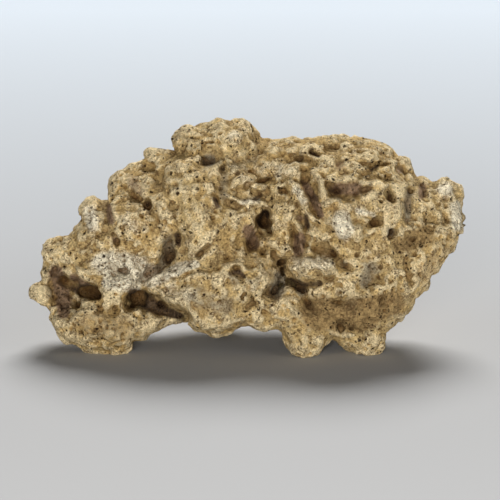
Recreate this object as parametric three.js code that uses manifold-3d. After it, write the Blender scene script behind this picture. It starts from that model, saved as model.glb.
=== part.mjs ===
// Reef rock: one porous stone, about 307 mm long, standing on five small flats of its three lobes.
// The stone is sketched from its front: u runs right, v up the sketch and w towards the viewer, all in
// millimetres. The sketch plane leans back by sketchTilt, and placeInRoom turns it upright at the end.
import * as THREE from 'three';
import { mergeVertices } from 'three/addons/utils/BufferGeometryUtils.js';
import Module from 'manifold-3d';

// Driving dimensions, millimetres and degrees
const sketchTilt = 12;
const stoneMiddle = { x: 0, y: 27.85 };

// Mesh: cell size and box of the lattice, number of triangles, and what keeps them well shaped
const gridStep = 3.2;
const gridLow = { u: -162, v: -16, w: -88 };
const gridHigh = { u: 162, v: 170, w: 62 };
const triangleGoal = 8800;
const evenness = 0.01;
const thinnest = 0.1;
const sharpestTurn = 0.25;
const farthestJoin = 1.5;
const flattestCorner = 1e-3;
const nearestCrossing = 0.1;
const groundSize = 500;
const groundDepth = 60;

// How the shapes below run into each other
const massBlend = 9;
const overhangBlend = 5;
const knobBlend = 2.5;
const edgeInset = 0.4;
const edgeMiddle = -6;
const edgeStraight = 14;
const edgeRound = 150;
const edgeRough = [
  { cell: 10, height: 4.5, seed: 121 },
  { cell: 5, height: 3.2, seed: 122 },
];
const warp = { cell: 12, height: 2.6, seed: 50 };
const workDepth = 30;
const scatter = 0.7;
const far = 1000;
const tiny = 1e-6;

const look = { colour: 0xa58f68, roughness: 0.95, metalness: 0 };

// Outline of the stone seen from the front, clockwise from its left tip
const outline = [
  [-153, 41], [-146, 49], [-145, 62], [-143, 65], [-145, 70], [-142, 78], [-124, 79], [-118, 90],
  [-118, 101], [-110, 108], [-99, 103], [-95, 116], [-89, 125], [-71, 132], [-72, 137], [-67, 141],
  [-52, 140], [-53, 152], [-49, 157], [-36, 158], [-27, 162], [-3, 162], [4, 158], [9, 148],
  [22, 147], [43, 151], [62, 153], [80, 149], [93, 149], [98, 144], [105, 137], [111, 136],
  [116, 132], [116, 121], [127, 121], [131, 117], [138, 122], [145, 120], [152, 97], [154, 91],
  [146, 74], [127, 53], [125, 45], [115, 36], [109, 21], [95, 10], [94, 3], [84, -4],
  [73, -2], [60, 4], [49, -1], [40, -6], [27, 2], [21, 16], [3, 16], [-12, 15], [-22, 12],
  [-34, 11], [-36, 16], [-57, 16], [-80, 7], [-84, 0], [-100, -3], [-124, 3], [-135, 16],
  [-137, 25], [-152, 38],
];

// Masses of the stone: name, middle u v w, half sizes u v w, turn in the sketch plane
const masses = [
  ['right block', 66, 92, -8, 60, 50, 52, 0],
  ['right wing', 116, 92, -14, 42, 28, 34, -6],
  ['right shoulder', 84, 118, -20, 34, 32, 34, 0],
  ['right flank', 108, 62, -8, 46, 34, 38, 44],
  ['right belly', 72, 50, 6, 44, 36, 38, -14],
  ['right skirt', 70, 26, 2, 40, 22, 30, 0],
  ['right foot', 80, 11, 6, 16, 14, 18, 0],
  ['top saddle', 30, 116, -18, 44, 33, 38, 0],
  ['crown', -22, 128, -20, 36, 34, 34, 0],
  ['middle face', -28, 92, -4, 52, 46, 44, 0],
  ['left bulge', -76, 84, -8, 34, 34, 38, 0],
  ['left ridge', -80, 108, -16, 24, 24, 26, 30],
  ['left shoulder', -106, 70, -10, 28, 28, 30, 0],
  ['left end', -126, 50, -12, 20, 30, 26, 0],
  ['left foot', -100, 18, 6, 38, 18, 27, -6],
  ['foot bridge', -90, 42, 4, 18, 12, 24, 0],
  ['foot neck', -72, 24, -4, 28, 13, 26, 8],
  ['rear shelf', -50, 36, -20, 28, 19, 26, 0],
  ['back bulk', 10, 80, -40, 96, 50, 32, 0],
  ['back left', -76, 66, -34, 46, 40, 30, 0],
  ['back skirt', -18, 60, -58, 50, 27, 20, 0],
  ['back leg left', -96, 30, -28, 20, 20, 18, 0],
  ['back leg right', 46, 36, -38, 18, 24, 18, 0],
];

// Parts that hang over in front and keep their own edge, in the same order of values
const overhangs = [
  ['slab', -18, 46, 8, 46, 24, 37, 6],
  ['slab lip', -22, 25, 22, 21, 14, 18, 4],
  ['slab end', 8, 29, 18, 18, 13, 18, 0],
  ['skirt corner', 27, 32, 16, 15, 18, 20, 0],
  ['front right foot', 40, 15, 12, 15, 17, 19, 0],
];

// Round lumps along the outline: middle u v w, radius
const knobs = [
  [-147, 41, -4, 6], [-141, 40, -6, 9], [-134, 68, -4, 11], [-128, 67, -10, 11], [-135.5, 55, -6, 9.5],
  [-109, 97, -2, 10.4], [-105, 100, -6, 6], [-111, 87, 0, 10], [-86, 113, -6, 12], [-76, 119, -8, 12],
  [-60, 132, -8, 9.8], [-68, 136, -6, 4.5], [-43, 147, -6, 10.4], [-31, 149.5, -12, 9.4],
  [-19, 152, -8, 9.8], [-7, 151, -10, 11], [-1, 147, -14, 10.4], [14, 138, -12, 9.4],
  [31, 139, -10, 9.8], [43, 140, -14, 10], [56, 142, -12, 9.6], [64, 143, -16, 9.4],
  [75, 141, -20, 10], [86, 139, -18, 10], [93, 137, -20, 10.4], [105, 127, -8, 10], [100, 131, -12, 8],
  [123, 112, -12, 9], [137, 112, -12, 9.4], [142, 108, -14, 9.4], [143, 98, -12, 9.4],
  [148, 91, -14, 5.8], [-119, 73, 4, 10], [-120, 13, 6, 11.5], [-129, 24, -2, 10], [12, 21, 24, 6.4],
  [52, 12, 12, 8], [137, 74, -14, 9], [126, 62, -10, 10], [117, 50, -8, 10], [105, 34, -4, 10],
];

// Feet, round lumps that are cut flat at floor level: name, middle u v w, radius
const feet = [
  ['left foot outer', -109, 7, 5, 10.5],
  ['left foot inner', -93, 6, 8, 10.5],
  ['front foot', 40, 7, 17, 12.5],
  ['right foot', 84, 6.5, 10, 11],
  ['back foot left', -96, 15.5, -32, 11.5],
  ['back foot right', 46, 18, -42, 11.5],
];

// Bumps on the front: name, place u v, half sizes, turn, height
const bumps = [
  ['middle swell', -30, 82, 18, 24, 0, 5],
];
const bumpBlend = 5;

// Deep holes in the front: name, place u v, half sizes, turn, depth
const pits = [
  ['left cave', -116, 40.5, 6.5, 4.5, -20, 26],
  ['left cave throat', -109, 39.5, 4.5, 3, -10, 30],
  ['step hole', -90.5, 76, 3.4, 3.2, 0, 8],
  ['cheek hole', -69, 101, 3.6, 4.4, 20, 10],
  ['big hole', 9.5, 90.5, 5, 7, -20, 26],
  ['west hollow deep', -48.5, 77, 2.8, 6, -10, 13],
  ['crack a', 42, 112, 3.6, 5, 30, 11],
  ['crack b', 39, 87, 3, 6, -6, 13],
  ['crack b low', 41, 78, 2.4, 3.6, 20, 9],
  ['east hollow', 61, 111.5, 3.4, 4.4, 20, 13],
  ['wing eye', 98, 107, 3.2, 5, 16, 12],
  ['east pit', 87, 89.5, 5, 3.4, 0, 12],
  ['grey pit', 98.5, 81.5, 5, 4.2, 0, 10],
  ['knob hole', -130, 59.5, 3, 1.8, 0, 6],
];
const pitRim = 1.6;

// Strokes worked into the front: name, height (a groove's is negative), how crisp, u v radius along it
const relief = [
  ['cave wall', -12, 1, [[-135, 54, 8], [-131, 42, 12], [-129, 29, 9]]],
  ['cave core', -24, 1.2, [[-127, 46, 7], [-120, 41, 10], [-112, 40.5, 6.5], [-105, 39.5, 3]]],
  ['cave roof', -6, 1.3, [[-127, 50, 4], [-119, 47, 5], [-110, 42, 4]]],
  ['knob shelf', 5, 1.3, [[-139, 68, 7], [-129, 68, 8]]],
  ['knob underside', -4.5, 1.4, [[-141, 57, 3], [-130, 58, 3.4], [-123, 54, 3]]],
  ['cream lump', 5, 1.1, [[-116, 55, 8], [-107, 54, 7]]],
  ['step gully', -5, 1.3, [[-105, 78, 2], [-100, 81.5, 2.8], [-95.5, 87, 4], [-96.5, 95, 4],
    [-99, 103, 3]]],
  ['step low', -4, 1.2, [[-95, 80, 4], [-91, 76, 4.5]]],
  ['pale knob', 6, 1.1, [[-110, 99, 7], [-108, 90, 8], [-110, 82, 6]]],
  ['cheek arc', -5, 1.1, [[-91, 103, 2.6], [-83, 107.5, 4.6], [-75, 106, 5.4], [-69, 101, 5],
    [-65, 94, 2.8]]],
  ['cheek', 8, 1, [[-86, 91, 11], [-75, 91, 13]]],
  ['face nick', -4.5, 1.3, [[-57, 110, 2], [-56, 115.5, 3.2], [-50, 117, 2.2]]],
  ['west hollow', -10, 1.2, [[-51, 79, 8.5], [-53, 71, 9.5], [-55, 63, 7]]],
  ['west slot', -6, 1.4, [[-50, 80, 4], [-48.5, 74, 4]]],
  ['west run', -3, 1.1, [[-60, 60, 5], [-65, 54, 4]]],
  ['white step', 4, 1, [[-96, 62, 5], [-86, 60, 7], [-78, 54, 7], [-84, 48, 6]]],
  ['ragged hole', -6.5, 1.4, [[-35, 66, 2.6], [-29, 71.5, 4]]],
  ['ragged lump', 3, 1.1, [[-33, 65, 4]]],
  ['slab ridge', 7, 1, [[-68, 45, 6], [-60, 47.5, 10], [-50, 51, 11], [-40, 53, 9], [-31, 55, 6]]],
  ['slab dip', -3.5, 1, [[-57, 43, 4], [-48, 45, 6], [-38, 47, 5]]],
  ['slab rim', 6, 1.3, [[-67, 44, 3], [-59, 40, 4.4], [-51, 36, 4.4], [-43, 32, 4.4], [-36, 23, 4.4],
    [-33, 17, 4], [-20, 17, 4], [-10, 20, 4], [-2, 24, 4]]],
  ['slab apron', 5, 1, [[-40, 36, 12], [-24, 31, 14]]],
  ['under slab', -11, 1.5, [[-81, 38.5, 5], [-74, 34, 10], [-66, 31, 10]]],
  ['under slab low', -9, 1.6, [[-65, 31, 9], [-57, 27.5, 6.5], [-49, 25, 5], [-43, 23, 3.6]]],
  ['crown hollow', -6.5, 1.2, [[-31, 130, 5], [-26, 134, 7.4], [-24, 139.5, 4.4]]],
  ['trough', -7, 1.4, [[-18, 127, 5], [-17.5, 118, 6.4], [-17, 110, 7.4], [-15, 103, 7]]],
  ['bowl', -7.5, 1.3, [[-15, 101, 8], [-6, 104, 10], [5, 106, 9]]],
  ['bowl corner', -7, 1.3, [[-22, 105, 3.8], [-20, 100, 3.2]]],
  ['bowl dish', -4, 1.1, [[-19, 96.5, 4], [-8, 95, 5], [2, 98, 4]]],
  ['ledge block', 5, 1.4, [[-9, 117, 3.6], [0, 119, 4], [8, 113, 4]]],
  ['ledge slit', -6, 1.5, [[-11, 110, 1.7], [-4, 113, 2.2], [3, 116, 2.8], [9, 118.5, 3.2],
    [13.5, 119.5, 2]]],
  ['ledge pit', -6, 1.3, [[5.5, 105, 2.4], [9, 107, 3.2]]],
  ['big hole top', -13, 1.5, [[12.5, 95, 5], [9.6, 90.4, 7.5], [7, 84, 8]]],
  ['big hole wall', -11, 1.7, [[3.5, 83, 10], [2.5, 78, 10.5]]],
  ['column', 6, 1, [[19, 100, 7], [21, 88, 7]]],
  ['worm hole', -7.5, 1.4, [[-11, 52, 6.6], [-6, 51, 6.6]]],
  ['worm groove', -4.5, 1.1, [[-12, 47, 7]]],
  ['worm roof', 3, 1.2, [[-18, 57, 3], [-11, 60, 3.4], [-3, 58, 3]]],
  ['leaf', 5, 1, [[5, 50, 6], [4, 43, 6]]],
  ['trench a', -10, 1.2, [[37.5, 116, 6.5], [42, 112, 7], [46, 104, 6.4], [49, 97, 5.6], [50, 92, 4]]],
  ['trench b', -9, 1.2, [[33, 100, 4], [36, 93, 6], [38, 86, 6], [41, 79, 6], [42, 74, 4.4]]],
  ['trench b foot', -8, 1.2, [[32, 84, 4], [35, 76, 7], [34, 69, 6]]],
  ['tongue', 5, 1.2, [[30, 116, 5], [35, 109, 7], [39, 101, 6.4], [42, 93, 4]]],
  ['tongue left', -4, 1.2, [[24, 109, 3.4], [27, 105, 3.4], [28, 99, 2.6]]],
  ['yellow knob', 8, 1.2, [[17, 74, 9], [22, 71, 7]]],
  ['polyp lump', 11, 1.3, [[34, 58, 8.6], [46, 59, 9], [57, 57, 7.6]]],
  ['under polyp', -6.5, 1.3, [[24, 55, 4], [29, 47, 5], [38, 45, 5], [48, 46.5, 3.4], [58, 48.5, 2.6]]],
  ['grey hollow', -8, 1.1, [[22, 50, 9], [19, 42, 9]]],
  ['grey hollow right', -5, 1.1, [[44, 35, 4], [37, 40, 5]]],
  ['ring', 3, 1.3, [[44.5, 44.5, 4.2]]],
  ['mound groove', -8, 1.2, [[48, 74, 4], [54, 69, 5.6], [60, 64, 6], [67, 58, 4.4]]],
  ['pale mound', 10, 1, [[63, 89, 12], [73, 87, 11]]],
  ['lip hollow', -5, 1.3, [[83, 89.5, 3], [90, 89, 3.6]]],
  ['sill', 7, 1.3, [[52, 102.5, 3], [60, 105, 4], [70, 101.5, 4]]],
  ['east hollow deep', -10, 1.4, [[60, 116, 4.6], [61, 110.5, 5.2], [67, 108, 5.2], [74, 110, 4.4]]],
  ['east hollow wide', -6.5, 1.2, [[62, 113, 7], [72, 112, 7], [80, 112, 5]]],
  ['rib by trench', 6, 1.2, [[49, 121, 4.4], [53, 113, 4.6], [56, 107, 4]]],
  ['small crest', 6, 1.3, [[78, 118, 3], [86, 117.5, 3.2], [93, 115, 3]]],
  ['crest back', -4, 1.3, [[80, 122, 3], [90, 121, 3], [95, 119, 3]]],
  ['wing eye hollow', -4.5, 1.2, [[96, 111, 4], [99, 104, 4]]],
  ['right cheek', 8, 1, [[90, 101, 8], [103, 97, 9]]],
  ['grey flute', -4.5, 1.2, [[111, 113, 4], [110, 100, 5.6], [110, 90, 4.6]]],
  ['wing groove', -5, 1.2, [[121, 116, 3.6], [121, 109, 3.2]]],
  ['ear hollow', -4, 1.2, [[104, 126, 4.6], [108, 124, 4]]],
  ['top pit', -5.5, 1.3, [[36.5, 126, 2.8], [40, 124.5, 3.2]]],
  ['top dent', -4.5, 1.2, [[55, 141, 4], [64, 138, 4.4], [63, 128, 5], [66, 122, 4]]],
  ['top dent 2', -4.5, 1.2, [[22, 134, 4], [28, 131, 4], [40, 132, 4], [50, 128, 3]]],
  ['top knoll', 6, 1, [[76, 134, 8], [88, 136, 7]]],
  ['top knoll 2', 6, 1, [[30, 141, 7], [42, 144, 7]]],
  ['wing knoll', 6, 1, [[138, 110, 8], [145, 100, 7]]],
  ['wing dent', -4.5, 1, [[128, 110, 4], [130, 101, 4], [138, 92, 5]]],
  ['dish', -7, 1, [[84, 56, 13], [82, 48, 9]]],
  ['flank rib', 3, 1, [[140, 84, 6], [127, 69, 8], [116, 55, 6]]],
  ['flank dent', -4.5, 1.1, [[112, 66, 4], [110, 58, 4.4], [113, 44, 4]]],
  ['grey pit ring', 3, 1.2, [[98.5, 81.5, 9]]],
  ['low dent', -5, 1.1, [[56, 34, 4], [66, 30, 5], [78, 33, 4]]],
  ['low dent 2', -6, 1.2, [[62, 17, 4], [70, 14, 5.4], [79, 13, 4]]],
  ['low rib', 6, 1, [[30, 29, 6], [46, 24, 7]]],
  ['foot dent', -5, 1.2, [[-104, 29, 4], [-98, 26, 5], [-92, 30, 4]]],
  ['foot toe', 6, 1, [[-108, 12, 9], [-92, 12, 9]]],
  ['foot line', -3, 1.3, [[-103, 4, 2.6], [-101, 14, 3]]],
  ['brow', 7, 1, [[-44, 128, 9], [-38, 114, 9], [-36, 98, 9], [-34, 84, 9]]],
  ['brow left', -5, 1, [[-62, 124, 6], [-60, 112, 6], [-52, 98, 6]]],
  ['crown knoll', 7, 1, [[-8, 147, 8]]],
  ['crown knoll 2', 6, 1, [[-42, 146, 7]]],
  ['crown dent', -4.5, 1, [[8, 138, 6], [2, 131, 6], [-8, 130, 5]]],
];

// The strokes' edges are bent and softened, and fade near the outline and away from the front
const reliefBend = [
  { cell: 12, height: 4.5, seed: 91 },
  { cell: 5.5, height: 3.4, seed: 95 },
];
const reliefRagged = { cell: 7, height: 0.5, seed: 111 };
const reliefSoften = 0.7;
const hollowsWider = 1.25;
const reliefEdge = 11;
const reliefFrom = -30;
const reliefWidth = 22;
const roughHollow = { cell: 4, height: 0.8, seed: 101 };
const unevenRise = { cell: 9, height: 0.9, seed: 104 };

// Lumps and pits spread over the back, the ends and the top, from rays out of the stone's heart
const spread = {
  count: 150,
  seed: 5,
  heart: { u: 0, v: 76, w: -14 },
  reach: { u: 170, v: 95, w: 85 },
  frontLimit: 0.3,
  clearOfFloor: 16,
  lumpRadius: [7, 13],
  lumpOut: 0.45,
  pitRadius: [4, 8],
  pitIn: 0.25,
  cavePitEvery: 7,
  caveScale: 1.6,
  rayStep: 0.01,
};

// Uneven skin: soft swells by cell size and height, and rounded lumps
const swells = [
  { cell: 24, height: 5.4, seed: 3 },
  { cell: 12, height: 3, seed: 7 },
];
const lumps = { cell: 15, height: 2, fall: 2.4, seed: 21 };
const skinDepth = 14;
const rimWidth = 8;
const rimShare = 0.2;
const hollowShare = 0.8;

// Patches that stay smoother: place u v, radius, share of the skin left
const smoothPatches = [
  [-28, 84, 26, 0.35], [84, 56, 18, 0.3], [-32, 39, 25, 0.35], [66, 88, 14, 0.3], [-76, 92, 12, 0.4],
];
const smoothFrontStart = -5;
const smoothFrontWidth = 20;
const patchFade = 1.4;

const tiltCos = Math.cos(THREE.MathUtils.degToRad(sketchTilt));
const tiltSin = Math.sin(THREE.MathUtils.degToRad(sketchTilt));

// Same number between 0 and 1 each time for a cell of the lattice
function cellNumber(i, j, k, seed) {
  let h = (Math.imul(i, 374761393) + Math.imul(j, 668265263) + Math.imul(k, 2147483642)
    + Math.imul(seed, 974711)) >>> 0;
  h = Math.imul(h ^ (h >>> 13), 1274126177) >>> 0;
  h = Math.imul(h ^ (h >>> 16), 2246822519) >>> 0;
  h = (h ^ (h >>> 15)) >>> 0;
  return h / 2 ** 32;
}

function splineWeights(t) {
  const r = 1 - t;
  return [r ** 3 / 6, 2 / 3 - t * t + t ** 3 / 2, 2 / 3 - r * r + r ** 3 / 2, t ** 3 / 6];
}

// Smooth noise between about -0.5 and 0.5
function swell(p, cell, seed) {
  const at = [p.u / cell, p.v / cell, p.w / cell];
  const low = at.map(Math.floor);
  const [wu, wv, ww] = at.map((x, n) => splineWeights(x - low[n]));
  let sum = 0;
  for (let a = 0; a < 4; a++) {
    for (let b = 0; b < 4; b++) {
      for (let c = 0; c < 4; c++) {
        const value = cellNumber(low[0] + a - 1, low[1] + b - 1, low[2] + c - 1, seed) * 2 - 1;
        sum += wu[a] * wv[b] * ww[c] * value;
      }
    }
  }
  return sum;
}

// Square of the distance to the nearest of the scattered points, one in each cell
function lumpDistance(p, cell, seed) {
  const at = [p.u / cell, p.v / cell, p.w / cell];
  const low = at.map(Math.floor);
  let best = Infinity;
  for (let a = -1; a < 2; a++) {
    for (let b = -1; b < 2; b++) {
      for (let c = -1; c < 2; c++) {
        const cellAt = [low[0] + a, low[1] + b, low[2] + c];
        let sum = 0;
        for (let n = 0; n < 3; n++) {
          const point = cellAt[n] + (1 - scatter) / 2 + scatter * cellNumber(...cellAt, seed + n);
          sum += (at[n] - point) ** 2;
        }
        best = Math.min(best, sum);
      }
    }
  }
  return best;
}

function smoothMin(a, b, k) {
  const h = THREE.MathUtils.clamp(0.5 + (0.5 * (b - a)) / k, 0, 1);
  return b * (1 - h) + a * h - k * h * (1 - h);
}

function smoothMax(a, b, k) {
  return -smoothMin(-a, -b, k);
}

// Distance to an ellipsoid, good near its surface; negative inside
function ellipsoid(p, middle, half, turn) {
  const c = Math.cos(THREE.MathUtils.degToRad(turn));
  const s = Math.sin(THREE.MathUtils.degToRad(turn));
  const du = p.u - middle[0];
  const dv = p.v - middle[1];
  const a = (du * c + dv * s) / half[0];
  const b = (dv * c - du * s) / half[1];
  const d = (p.w - middle[2]) / half[2];
  const inner = Math.hypot(a, b, d);
  const slope = Math.hypot(a / half[0], b / half[1], d / half[2]);
  return (inner * (inner - 1)) / Math.max(slope, tiny);
}

function sphere(p, middle, radius) {
  return Math.hypot(p.u - middle[0], p.v - middle[1], p.w - middle[2]) - radius;
}

// Distance to the outline in the sketch plane; negative inside
function outlineDistance(u, v) {
  let best = Infinity;
  let inside = false;
  outline.forEach(([ax, ay], n) => {
    const [bx, by] = outline[(n + 1) % outline.length];
    const ex = bx - ax;
    const ey = by - ay;
    const t = THREE.MathUtils.clamp(((u - ax) * ex + (v - ay) * ey) / (ex * ex + ey * ey), 0, 1);
    best = Math.min(best, Math.hypot(u - ax - t * ex, v - ay - t * ey));
    if (ay > v !== by > v && u < ax + ((v - ay) * ex) / ey) inside = !inside;
  });
  return inside ? -best : best;
}

// The stone without its bumps, pits and skin
function body(p, edge) {
  let f = far;
  for (const [, u, v, w, hu, hv, hw, turn] of masses) {
    f = smoothMin(f, ellipsoid(p, [u, v, w], [hu, hv, hw], turn), massBlend);
  }
  const away = Math.max(Math.abs(p.w - edgeMiddle) - edgeStraight, 0);
  f = smoothMax(f, edge + edgeInset + (away * away) / edgeRound, overhangBlend);
  for (const [, u, v, w, hu, hv, hw, turn] of overhangs) {
    f = smoothMin(f, ellipsoid(p, [u, v, w], [hu, hv, hw], turn), overhangBlend);
  }
  for (const [u, v, w, radius] of knobs) {
    f = smoothMin(f, sphere(p, [u, v, w], radius), knobBlend);
  }
  for (const [, u, v, w, radius] of feet) {
    f = smoothMin(f, sphere(p, [u, v, w], radius), overhangBlend);
  }
  return f;
}

// How far towards the viewer the body reaches at a place on the front
function frontAt(u, v) {
  const edge = outlineDistance(u, v);
  let before = 1;
  for (let w = gridHigh.w; w > gridLow.w; w -= 1) {
    const f = body({ u, v, w }, edge);
    if (f < 0) return w + f / (f - before);
    before = f;
  }
  throw new Error(`nothing at ${u}, ${v}`);
}

const bumpShapes = bumps.map(([, u, v, hu, hv, turn, height]) => {
  const round = Math.max(hu, hv);
  return { middle: [u, v, frontAt(u, v) + height - round], half: [hu, hv, round], turn };
});
const pitShapes = pits.map(([, u, v, hu, hv, turn, depth]) => {
  return { middle: [u, v, frontAt(u, v)], half: [hu, hv, depth], turn };
});

// Steps from far outside along a ray to the heart, until it meets the body
function surfaceAlong(direction) {
  const { heart, reach } = spread;
  for (let t = 1; t > 0; t -= spread.rayStep) {
    const p = {
      u: heart.u + t * reach.u * direction[0],
      v: heart.v + t * reach.v * direction[1],
      w: heart.w + t * reach.w * direction[2],
    };
    if (body(p, outlineDistance(p.u, p.v)) < 0) return p;
  }
  return heart;
}

const spreadShapes = [];
for (let n = 0; n < spread.count; n++) {
  const [along, around, size] = [0, 1, 2].map((column) => cellNumber(n, column, 0, spread.seed));
  const rise = 1 - 2 * along;
  const ring = Math.sqrt(1 - rise * rise);
  const angle = 2 * Math.PI * around;
  const direction = [rise, ring * Math.cos(angle), ring * Math.sin(angle)];
  const p = surfaceAlong(direction);
  const height = p.v * tiltCos + p.w * tiltSin;
  if (direction[2] > spread.frontLimit || height < spread.clearOfFloor) continue;
  const isLump = n % 2 === 0;
  const [small, large] = isLump ? spread.lumpRadius : spread.pitRadius;
  const isCave = !isLump && n % spread.cavePitEvery === 0;
  const radius = THREE.MathUtils.lerp(small, large, size) * (isCave ? spread.caveScale : 1);
  if (outlineDistance(p.u, p.v) > -radius) continue;
  const shift = (isLump ? spread.lumpOut - 1 : spread.pitIn) * radius;
  const middle = [p.u + shift * direction[0], p.v + shift * direction[1], p.w + shift * direction[2]];
  spreadShapes.push({ middle, radius, isLump });
}

function skinShare(p) {
  let share = 1;
  for (const [u, v, radius, left] of smoothPatches) {
    const near = THREE.MathUtils.clamp(patchFade - Math.hypot(p.u - u, p.v - v) / radius, 0, 1);
    share *= 1 - (1 - left) * near;
  }
  const front = THREE.MathUtils.clamp((p.w - smoothFrontStart) / smoothFrontWidth, 0, 1);
  return share * front + 1 - front;
}

// 1 in the middle of a stroke, 0 outside it
function strokeShare(u, v, points, crisp, ragged, wider) {
  let best = -1;
  for (let n = 0; n < Math.max(points.length - 1, 1); n++) {
    const [u0, v0, r0] = points[n];
    const [u1, v1, r1] = points[Math.min(n + 1, points.length - 1)];
    const du = u1 - u0;
    const dv = v1 - v0;
    const length = Math.max(du * du + dv * dv, tiny);
    const t = THREE.MathUtils.clamp(((u - u0) * du + (v - v0) * dv) / length, 0, 1);
    const away = Math.hypot(u - u0 - t * du, v - v0 - t * dv);
    best = Math.max(best, 1 - away / (r0 + t * (r1 - r0)) / wider);
  }
  return THREE.MathUtils.smoothstep((best + ragged) * crisp, 0, 1);
}

// How far the front is worked out or in at a place
function reliefAt(u, v, edge) {
  const flat = { u, v, w: 0 };
  let bentU = u;
  let bentV = v;
  for (const { cell, height, seed } of reliefBend) {
    bentU += height * swell(flat, cell, seed);
    bentV += height * swell(flat, cell, seed + 1);
  }
  const ragged = reliefRagged.height * swell(flat, reliefRagged.cell, reliefRagged.seed);
  let out = 0;
  let hollow = 0;
  for (const [, height, crisp, points] of relief) {
    const wider = height > 0 ? 1 : hollowsWider;
    const amount = height * strokeShare(bentU, bentV, points, crisp * reliefSoften, ragged, wider);
    if (height > 0) out = Math.max(out, amount);
    else hollow = Math.min(hollow, amount);
  }
  hollow *= 1 + roughHollow.height * swell(flat, roughHollow.cell, roughHollow.seed);
  out *= 1 + unevenRise.height * swell(flat, unevenRise.cell, unevenRise.seed);
  return (out + hollow) * THREE.MathUtils.clamp(-edge / reliefEdge, 0, 1);
}

// The same for every depth, so each place is worked out once
const reliefKnown = new Map();
function reliefOnce(u, v, edge) {
  const place = `${u},${v}`;
  if (!reliefKnown.has(place)) reliefKnown.set(place, reliefAt(u, v, edge));
  return reliefKnown.get(place);
}

// The outline's uneven notches, the same for every depth
function notches(u, v) {
  let sum = 0;
  for (const { cell, height, seed } of edgeRough) {
    sum += height * swell({ u, v, w: 0 }, cell, seed);
  }
  return sum;
}

// The whole stone: negative inside, positive outside
function stone(p) {
  const smoothEdge = outlineDistance(p.u, p.v);
  const edge = smoothEdge + notches(p.u, p.v);
  let f = body(p, edge);
  if (Math.abs(f) > workDepth) return f;
  const warped = {
    u: p.u + warp.height * swell(p, warp.cell, warp.seed),
    v: p.v + warp.height * swell(p, warp.cell, warp.seed + 1),
    w: p.w + warp.height * swell(p, warp.cell, warp.seed + 2),
  };
  for (const { middle, half, turn } of bumpShapes) {
    f = smoothMin(f, ellipsoid(warped, middle, half, turn), bumpBlend);
  }
  for (const { middle, radius, isLump } of spreadShapes) {
    if (isLump) f = smoothMin(f, sphere(warped, middle, radius), bumpBlend);
  }
  const towards = THREE.MathUtils.clamp((p.w - reliefFrom) / reliefWidth, 0, 1);
  if (towards > 0) f -= reliefOnce(p.u, p.v, smoothEdge) * towards;
  let skin = 0;
  for (const { cell, height, seed } of swells) {
    skin += height * swell(p, cell, seed);
  }
  if (Math.abs(f) < skinDepth) {
    skin += lumps.height * (1 - lumps.fall * lumpDistance(warped, lumps.cell, lumps.seed));
  }
  const rim = THREE.MathUtils.clamp(-edge / rimWidth, rimShare, 1);
  f -= skin * skinShare(p) * (skin > 0 ? rim : hollowShare);
  for (const { middle, half, turn } of pitShapes) {
    f = smoothMax(f, -ellipsoid(warped, middle, half, turn), pitRim);
  }
  for (const { middle, radius, isLump } of spreadShapes) {
    if (!isLump) f = smoothMax(f, -sphere(warped, middle, radius), pitRim);
  }
  return f;
}

// Six tetrahedra that share the long diagonal of a cube, as corner numbers (1 u, 2 v, 4 w)
const cubeTetrahedra = [
  [0, 1, 3, 7], [0, 3, 2, 7], [0, 2, 6, 7], [0, 6, 4, 7], [0, 4, 5, 7], [0, 5, 1, 7],
];

// Closed triangle mesh of the surface where the stone's field passes zero
function meshOfField() {
  const counts = ['u', 'v', 'w'].map((axis) => Math.ceil((gridHigh[axis] - gridLow[axis]) / gridStep) + 1);
  const [nu, nv, nw] = counts;
  const place = (n) => {
    const i = n % nu;
    const j = Math.floor(n / nu) % nv;
    const k = Math.floor(n / (nu * nv));
    return { u: gridLow.u + i * gridStep, v: gridLow.v + j * gridStep, w: gridLow.w + k * gridStep };
  };
  const values = new Float64Array(nu * nv * nw);
  for (let n = 0; n < values.length; n++) {
    values[n] = stone(place(n));
  }

  const points = [];
  const triangles = [];
  const known = new Map();
  const crossing = (a, b) => {
    const [low, high] = a < b ? [a, b] : [b, a];
    const key = low * values.length + high;
    if (!known.has(key)) {
      const share = values[low] / (values[low] - values[high]);
      const t = THREE.MathUtils.clamp(share, nearestCrossing, 1 - nearestCrossing);
      const p = place(low);
      const q = place(high);
      known.set(key, points.length);
      points.push(new THREE.Vector3(p.u + t * (q.u - p.u), p.v + t * (q.v - p.v), p.w + t * (q.w - p.w)));
    }
    return known.get(key);
  };
  const addTriangle = (a, b, c, inner) => {
    const side = new THREE.Vector3().subVectors(points[b], points[a])
      .cross(new THREE.Vector3().subVectors(points[c], points[a]));
    const p = place(inner);
    const out = new THREE.Vector3(points[a].x - p.u, points[a].y - p.v, points[a].z - p.w);
    triangles.push(side.dot(out) > 0 ? [a, b, c] : [a, c, b]);
  };

  for (let k = 0; k < nw - 1; k++) {
    for (let j = 0; j < nv - 1; j++) {
      for (let i = 0; i < nu - 1; i++) {
        const corner = (c) => i + (c & 1) + (j + ((c >> 1) & 1)) * nu + (k + ((c >> 2) & 1)) * nu * nv;
        for (const tetrahedron of cubeTetrahedra) {
          const corners = tetrahedron.map(corner);
          const inner = corners.filter((n) => values[n] < 0);
          const outer = corners.filter((n) => values[n] >= 0);
          if (inner.length === 1) {
            addTriangle(...outer.map((n) => crossing(inner[0], n)), inner[0]);
          } else if (inner.length === 3) {
            addTriangle(...inner.map((n) => crossing(n, outer[0])), inner[0]);
          } else if (inner.length === 2) {
            const [a, b] = inner;
            const [c, d] = outer;
            const ring = [crossing(a, c), crossing(a, d), crossing(b, d), crossing(b, c)];
            addTriangle(ring[0], ring[1], ring[2], a);
            addTriangle(ring[0], ring[2], ring[3], a);
          }
        }
      }
    }
  }
  return { points, triangles };
}

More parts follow.
